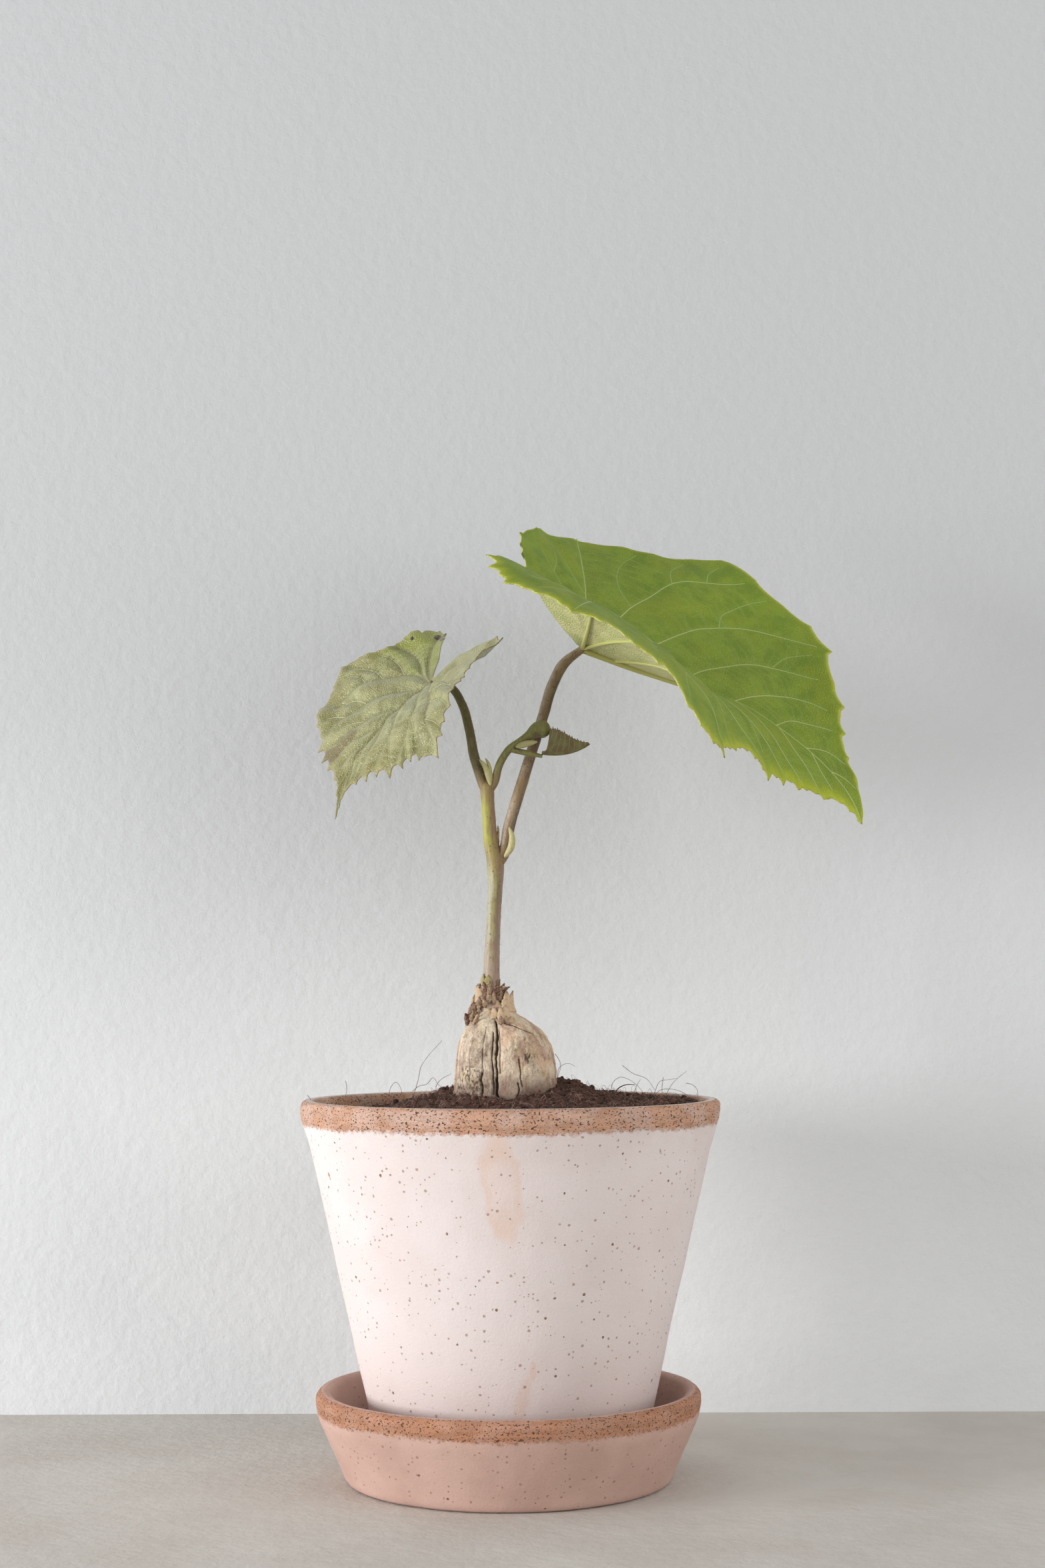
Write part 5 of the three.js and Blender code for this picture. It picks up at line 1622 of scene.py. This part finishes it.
def blade_form(leaf, half_count, rings):
    """The blade as rings fanned out from where the petiole joins: ring s holds the margin times s,
    and the teeth, square to the margin, come in over the last eighth. Values on its points are
    the distances to the nearest vein, cross vein and edge, the pale rim and the patches."""
    share = np.arange(half_count) / half_count
    margins = []
    for half, sign in (("left", 1), ("right", -1)):
        plain = even_spline(leaf[half]["outline"], share)
        ahead = unit(np.gradient(plain, axis=0))
        outward = np.stack([-ahead[:, 1], ahead[:, 0]], axis=1)
        teeth = tooth_height(share, leaf[half]["teeth"])
        teeth = teeth + spike_height(plain, leaf[half]["spikes"], leaf["length"])
        toothed = plain + outward * teeth[:, None]
        margins.append((plain * (1, sign), toothed * (1, sign)))
    tip = np.array([[1.0, 0.0]])
    (left, left_toothed), (right, right_toothed) = margins
    plain = np.concatenate([right[1:], tip, left[::-1]])
    toothed = np.concatenate([right_toothed[1:], tip, left_toothed[::-1]])
    s = (np.arange(1, rings + 1) / rings) ** 0.92
    blend = smoothstep(s, 0.88, 1)[:, None, None]
    places = s[:, None, None] * (plain * (1 - blend) + toothed * blend)
    u = np.concatenate([[0.0], places[..., 0].ravel()])
    v = np.concatenate([[0.0], places[..., 1].ravel()])
    columns = len(plain)
    middle, normal, vein, rung = blade_surface(leaf, u, v)
    reach = np.linalg.norm(plain, axis=1)[None] * leaf["length"]
    edge = np.concatenate([[99.0], ((1 - s)[:, None] * reach * 0.8).ravel()])
    ring = 1 + np.arange(columns)
    grid = grid_faces(rings, columns, True)[:, ::-1] + 1
    fan = fan_faces(0, ring, True)
    total = len(u)
    rim = ring + (rings - 1) * columns
    after = np.roll(rim, -1)
    wall = np.stack([rim, rim + total, after + total, after], axis=1)
    faces = [grid, fan, grid[:, ::-1] + total, fan[:, ::-1] + total, wall]
    reach = np.where(v > 0, leaf["rim"][0], leaf["rim"][1]) * (1 + 1.5 * smoothstep(u, 0.4, 1))
    values = {"vein": vein, "rung": rung, "edge": edge, "rim": np.exp(-edge / reach)}
    for title, spots in leaf["patches"].items():
        cover = np.zeros_like(u)
        for at_u, at_v, size in spots:
            cover = np.maximum(cover, np.exp(-((np.hypot(u - at_u, v - at_v) / size) ** 4)))
        values[title] = cover
    values = {k: np.tile(value, 2) for k, value in values.items()}
    values["under"] = np.repeat([0.0, 1.0], total)
    half = normal * BLADE_THICKNESS / 2
    return part(np.concatenate([middle + half, middle - half]), *faces, **values)


def vein_form(leaf, proud):
    """Veins as stalks laid into the blade, most of each below it: the centre of a vein of radius r
    lies r - thickness / 2 - proud under the middle. There is a proud for main veins, one for
    branches and one for cross veins."""
    lines = [
        (line, np.linspace(start, end, len(line)), kind)
        for line, start, end, kind in vein_lines(leaf)
    ]
    lines += [(line, np.full(len(line), leaf["rung_radius"]), 1.0) for line in rung_lines(leaf)]
    u, v = np.concatenate([line for line, _, _ in lines]).T
    radius = np.concatenate([r for _, r, _ in lines])
    above = np.concatenate([np.full(len(line), proud[int(2 * kind)]) for line, _, kind in lines])
    lift = BLADE_THICKNESS / 2 + above - radius
    points, normals, _, _ = blade_surface(leaf, u, v, lift)
    forms, start = [], 0
    for line, r, kind in lines:
        span = slice(start, start + len(line))
        start += len(line)
        sides = 5 if kind > 0.9 else 8
        share = np.linspace(0, 1, len(line))
        forms.append(sweep(points[span], r, sides, normals[span], share=share, kind=kind))
    return merge(forms)


def leaf_material(name, look):
    """A leaf: tissue with a soft mottling and a fine net, paler or darker along its veins and
    towards its margin, with fresh and brown patches, near-black painted shade where the blade has
    holes, and its own underside. Where it is darker along the veins, as on the small leaf, that is
    painted shade in the grooves they lie in."""
    nodes = new_material(name, look["roughness"], look["shader"])
    place = nodes.place()
    tissue = use_group(nodes, TISSUE, vector=place, cell=look["cell"])
    soft = nodes.mask(tissue["Mottle"], 0.35, 0.65)
    colour = nodes.mix(soft, look["body"], look["shade"])
    broad = nodes.noise(place, 16, 3, 0.5)
    colour = nodes.paint(colour, look["tint"], broad, 0.42, 0.62, look["tint_depth"])
    colour = nodes.cover(colour, look["fresh"], nodes.value("fresh"), 0.85)
    # Where the halo is darker, as on the small leaf, it is painted shade in the grooves along the
    # veins
    halo = nodes.mask(nodes.value("vein"), look["halo_reach"], 0.3, 0, look["halo_depth"])
    colour = nodes.mix(halo, colour, look["halo"])
    colour = nodes.paint(colour, look["cross"], nodes.value("rung"), 0.8, 0.1, look["cross_depth"])
    colour = nodes.cover(colour, look["net"], tissue["Net"], look["net_depth"])
    rim = nodes.shake(nodes.value("rim"), tissue["Mottle"], 0.15)
    colour = nodes.paint(colour, look["rim"], rim, 0.1, 0.95, look["rim_depth"])
    colour = nodes.paint(colour, look["line"], nodes.value("edge"), 0.55, 0, 0.8)
    uneven = nodes.mask(tissue["Mottle"], 0.3, 0.7, -0.25, 0.2)
    brown = nodes.math("ADD", nodes.value("brown"), uneven)
    colour = nodes.paint(colour, look["brown"], brown, 0.2, 0.8, 0.75)
    specks = use_group(nodes, SPECKS, vector=place, scale=700.0, reach=0.3)["Mask"]
    colour = nodes.cover(colour, look["brown"], specks, look["speck_depth"])
    under = nodes.mix(soft, look["under"], look["under_shade"])
    under = nodes.cover(under, look["line"], tissue["Net"], 0.3)
    colour = nodes.mix(nodes.value("under"), colour, under)
    # Painted shade: near black where the blade has holes, for the shade seen through them
    colour = nodes.paint(colour, (0.035, 0.02, 0.01), nodes.value("hole"), 0.2, 0.5)
    return nodes.finish(colour, tissue["Height"], look["bump"])


def vein_material(name, start, end, branch, cross):
    """A vein: one colour at its start and one at its end, with others for branches and for cross
    veins."""
    nodes = new_material(name, 0.5)
    fine = nodes.noise(nodes.place(), 1.2, 3, 0.6)
    share = nodes.shake(nodes.value("share"), fine, 0.1)
    colour = nodes.paint(start, end, share, 0, 0.8)
    colour = nodes.paint(colour, branch, nodes.value("kind"), 0.2, 0.45)
    colour = nodes.paint(colour, cross, nodes.value("kind"), 0.7, 0.95)
    return nodes.finish(colour, fine, 0.05)


def folded_form(leaf, stations, wall_count):
    """The young leaf, folded along its midrib: each section runs up one half's outside, down its
    inside into the fold, and the same on the other half, with a blunt keel below. Side veins
    stand out as ridges where a wave of the place along the midrib, less 0.45 of the way up the
    wall, crests."""
    slope, wall = np.radians(leaf["fold"]), leaf["thickness"] / 2
    share = np.linspace(0, 1, stations)
    plain = even_spline(leaf["outline"], share)
    teeth = tooth_height(share, leaf["teeth"]) * smoothstep(share, 1, 0.93)
    reach = np.maximum((plain[:, 1] + teeth) * leaf["length"], 0.3)
    w = np.linspace(0, 1, wall_count)[None, :]
    u = plain[:, :1]
    leaning = u - 0.45 * w * reach[:, None] / leaf["length"]
    pattern = 0.5 + 0.5 * np.cos(TURN * 7.0 * leaning / 0.9)
    ridge = pattern**6 * smoothstep(w, 0.02, 0.15) * smoothstep(w, 1.0, 0.85)
    puff = 0.22 * np.sin(np.pi * np.clip(w, 0, 1)) * (1 - ridge)
    out = wall * (1 - 0.35 * w) + 0.14 * ridge + puff
    along_wall = w * reach[:, None]
    c, s = np.cos(slope), np.sin(slope)
    outer = np.stack([along_wall * c + out * s, along_wall * s - out * c], axis=2)
    base = np.array([wall, -0.4 * leaf["keel"]])
    ease = smoothstep(w, 0.0, 0.2)[..., None]
    upright = np.stack([along_wall * 0, along_wall * 0.8], axis=2)
    outer = base * (1 - ease) + outer * ease + (1 - ease) * upright
    inner = np.maximum(0.05, along_wall * c - wall * s)
    inside = np.stack([inner, along_wall * s + wall * c], axis=2)
    half = np.concatenate([outer, inside[:, :0:-1]], axis=1)
    keel = np.broadcast_to([0.0, -leaf["keel"]], (stations, 1, 2))
    depth = np.minimum(0.5 * reach[:, None], wall / c)
    crease = np.stack([np.zeros((stations, 1)), depth], axis=2)
    section = np.concatenate([keel, half, crease, half[:, ::-1] * (-1, 1)], axis=1)
    _, side, up = rib_frame(leaf, plain[:, 0])
    middle = rib_point(leaf, plain[:, 0])
    points = middle[:, None] + section[..., :1] * side[:, None] + section[..., 1:] * up[:, None]
    sides = section.shape[1]
    half_vein = np.concatenate([ridge, np.zeros_like(ridge[:, 1:])], axis=1)
    none = np.zeros((stations, 1))
    ridges = np.concatenate([none + 1, half_vein, none, half_vein[:, ::-1]], axis=1)
    rise = np.broadcast_to(w, along_wall.shape)
    half_rise = np.concatenate([rise, rise[:, :0:-1]], axis=1)
    rises = np.concatenate([none, half_rise, none, half_rise[:, ::-1]], axis=1)
    ends = points[[0, -1]].mean(axis=1)
    points = np.concatenate([points.reshape(-1, 3), ends])
    ridges, rises = (np.concatenate([x.ravel(), [0, 0]]) for x in (ridges, rises))
    return part(points, *tube_faces(stations, sides), ridge=ridges, rise=rises)


def young_material():
    """Olive in soft clouds, browner along the margin and paler on the ridges of the veins."""
    nodes = new_material("Young leaf", 0.5)
    place = nodes.place()
    cloud = nodes.noise(place, 2.5, 4, 0.6)
    colour = nodes.paint((0.17, 0.155, 0.055), (0.13, 0.095, 0.04), cloud, 0.35, 0.65)
    colour = nodes.paint(colour, (0.17, 0.1, 0.05), nodes.value("rise"), 0.75, 1, 0.7)
    colour = nodes.paint(colour, (0.24, 0.22, 0.09), nodes.value("ridge"), 0.2, 0.8, 0.6)
    return nodes.finish(colour, cloud, 0.1)


# Finish of a leaf: roughness, leaf cells in a metre, depth of the bump in millimetres, colours, and
# the depth or reach of a colour where its name says so
LARGE_LOOK = {
    "roughness": 0.55, "shader": {"Specular IOR Level": 0.3}, "cell": 1100.0, "bump": 0.14,
    "speck_depth": 0.3, "body": (0.228, 0.318, 0.028), "shade": (0.165, 0.247, 0.021),
    "tint": (0.27, 0.325, 0.024), "tint_depth": 0.5,
    "fresh": (0.2, 0.3, 0.04), "rim": (0.42, 0.48, 0.03), "rim_depth": 0.85,
    "halo": (0.21, 0.31, 0.045), "halo_reach": 2.2, "halo_depth": 0.4, "cross": (0.24, 0.34, 0.07),
    "cross_depth": 0.28, "net": (0.1, 0.165, 0.015), "net_depth": 0.4, "line": (0.5, 0.48, 0.08),
    "brown": (0.3, 0.18, 0.04), "under": (0.54, 0.53, 0.26), "under_shade": (0.42, 0.45, 0.19),
}
# The small leaf's halo is painted shade in the grooves along its veins
SMALL_LOOK = {
    "roughness": 0.38, "shader": {"Sheen Weight": 0.3}, "cell": 1300.0, "bump": 0.14,
    "speck_depth": 0.35, "body": (0.36, 0.355, 0.16), "shade": (0.185, 0.175, 0.045),
    "tint": (0.3, 0.26, 0.09), "tint_depth": 0.5,
    "fresh": (0.24, 0.27, 0.035), "rim": (0.37, 0.36, 0.16), "rim_depth": 0.35,
    "halo": (0.2, 0.19, 0.055), "halo_reach": 1.1, "halo_depth": 0.7, "cross": (0.46, 0.48, 0.27),
    "cross_depth": 0.2, "net": (0.18, 0.19, 0.07), "net_depth": 0.3, "line": (0.34, 0.26, 0.09),
    "brown": (0.17, 0.125, 0.045), "under": (0.36, 0.38, 0.18), "under_shade": (0.3, 0.32, 0.14),
}

pale_skin = scale_material("Stipule", (0.28, 0.19, 0.08), (0.5, 0.46, 0.22), 0.5)
make_stem(stem_material(), hair_material(), pale_skin)
large_skin = leaf_material("Large leaf", LARGE_LOOK)
large_blade = blade_form(LARGE_LEAF, 290, 76)
make_piece("leaf_large_blade", large_blade, large_skin, "leaf_green", "leaf_large")
LARGE_VEIN_COLOURS = (0.46, 0.45, 0.14), (0.36, 0.44, 0.14), (0.29, 0.38, 0.08), (0.25, 0.34, 0.06)
large_vein = vein_material("Large leaf vein", *LARGE_VEIN_COLOURS)
make_piece("leaf_large_veins", vein_form(LARGE_LEAF, (0.1, 0.13, 0.03)), large_vein, "leaf_green")
small_skin = leaf_material("Small leaf", SMALL_LOOK)
small_blade = blade_form(SMALL_LEAF, 220, 50)
make_piece("leaf_small_blade", small_blade, small_skin, "leaf_silver", "leaf_small")
SMALL_VEIN_COLOURS = (0.22, 0.19, 0.06), (0.16, 0.15, 0.045), (0.48, 0.48, 0.25), (0.44, 0.45, 0.24)
small_vein = vein_material("Small leaf vein", *SMALL_VEIN_COLOURS)
make_piece("leaf_small_veins", vein_form(SMALL_LEAF, (0.03, 0.14, 0.02)), small_vein, "leaf_silver")
young_leaf = folded_form(YOUNG_LEAF, 150, 12)
make_piece("leaf_young_folded", young_leaf, young_material(), "leaf_bronze", "leaf_young")


# Stage, light and camera

WALL_FOOT = 120.0
LIGHT_TARGET = (0, 0, 150)
CAMERA_PLACE = (5.3, -796.0, 162.0)
CAMERA_PITCH = np.radians(4.95)
CAMERA_ROLL = np.radians(-0.2)
CAMERA_LENS = 53.98


def plain_board(name, corners, material):
    """One flat face through four corners, as part of the stage."""
    mesh = bpy.data.meshes.new(name)
    mesh.from_pydata([[c * MM for c in corner] for corner in corners], [], [(0, 1, 2, 3)])
    mesh.materials.append(material)
    add_object(name, mesh)


def stage_material(name, low, high, size, see_through_back):
    """Matt paint with a soft mottling and fine grain, darker with height as the light falls off.
    The back of the wall lets the view through."""
    nodes = new_material(name, 0.9)
    place = nodes.place()
    cloud = nodes.noise(place, size, 5, 0.6)
    colour = nodes.paint(low, high, cloud, 0.35, 0.65)
    colour = nodes.paint(colour, dimmed(low, 0.69), nodes.height(place), 0.02, 0.34, 0.95)
    grain = nodes.noise(place, 1.5, 5, 0.7)
    colour = nodes.paint(colour, dimmed(low, 0.6), grain, 0.56, 0.75, 0.25)
    if see_through_back:
        back = nodes.add("NewGeometry").outputs["Backfacing"]
        clear = nodes.add("BsdfTransparent").outputs[0]
        sides = {0: back, 1: nodes.surface.outputs[0], 2: clear}
        output = nodes.tree.nodes["Material Output"]
        nodes.tree.links.new(nodes.add("MixShader", sides).outputs[0], output.inputs["Surface"])
    return nodes.finish(colour, nodes.noise(place, 5, 6, 0.6), 0.5)


def make_stage():
    """A floor at height 0 and a wall some way behind the pot."""
    wide, tall = 1800.0, 1500.0
    floor = [(-wide, -wide, 0), (wide, -wide, 0), (wide, wide, 0), (-wide, wide, 0)]
    wall = [(x, WALL_FOOT, z) for x, z in ((-wide, 0), (wide, 0), (wide, tall), (-wide, tall))]
    paint = stage_material("Floor paint", (0.55, 0.51, 0.46), (0.6, 0.57, 0.52), 60, False)
    plaster = stage_material("Wall plaster", (0.7, 0.715, 0.72), (0.74, 0.755, 0.755), 90, True)
    plain_board("floor", floor, paint)
    plain_board("wall", wall, plaster)


def set_place(thing, axes, place):
    """Puts an object at a place in millimetres, with its three axes as columns."""
    matrix = np.eye(4)
    matrix[:3, :3] = np.stack(axes, axis=1)
    matrix[:3, 3] = np.array(place) * MM
    thing.matrix_world = Matrix(matrix.tolist())


def area_light(name, place, target, size, power, colour):
    """A rectangular lamp that shines from a place towards a target."""
    data = bpy.data.lights.new(name, "AREA")
    data.shape = "RECTANGLE"
    data.size, data.size_y = size[0] * MM, size[1] * MM
    data.energy = power
    data.color = colour
    away = unit(np.subtract(place, target))
    side = unit(np.cross((0, 0, 1), away))
    set_place(add_object(name, data), (side, np.cross(away, side), away), place)


def make_light():
    """An even bluish surround, a window low on the left and a weak fill on the right."""
    world = bpy.data.worlds.new("Studio")
    world.use_nodes = True
    surround = world.node_tree.nodes["Background"].inputs
    surround["Color"].default_value = (0.96, 0.975, 1.0, 1)
    surround["Strength"].default_value = 0.54
    bpy.context.scene.world = world
    area_light(
        "Window", place=(-1560, -640, 250), target=LIGHT_TARGET, size=(820, 420), power=28,
        colour=(0.985, 0.99, 1.01),
    )
    area_light(
        "Fill", place=(1100, -950, 500), target=LIGHT_TARGET, size=(900, 900), power=8.5,
        colour=(1.0, 0.98, 0.97),
    )


def make_camera():
    """The camera looks along +Y, tipped up by its pitch and turned about its own axis by its
    roll."""
    data = bpy.data.cameras.new("Camera")
    data.sensor_width = 36.0
    data.lens = CAMERA_LENS
    data.clip_start, data.clip_end = 0.01, 20.0
    ahead = np.array([0, np.cos(CAMERA_PITCH), np.sin(CAMERA_PITCH)])
    level = np.array([1.0, 0, 0])
    above = np.cross(level, ahead)
    side = level * np.cos(CAMERA_ROLL) + above * np.sin(CAMERA_ROLL)
    up = above * np.cos(CAMERA_ROLL) - level * np.sin(CAMERA_ROLL)
    camera = add_object("Camera", data)
    set_place(camera, (side, up, -ahead), CAMERA_PLACE)
    bpy.context.scene.camera = camera


make_stage()
make_light()
make_camera()
bpy.context.scene.view_settings.view_transform = "Standard"
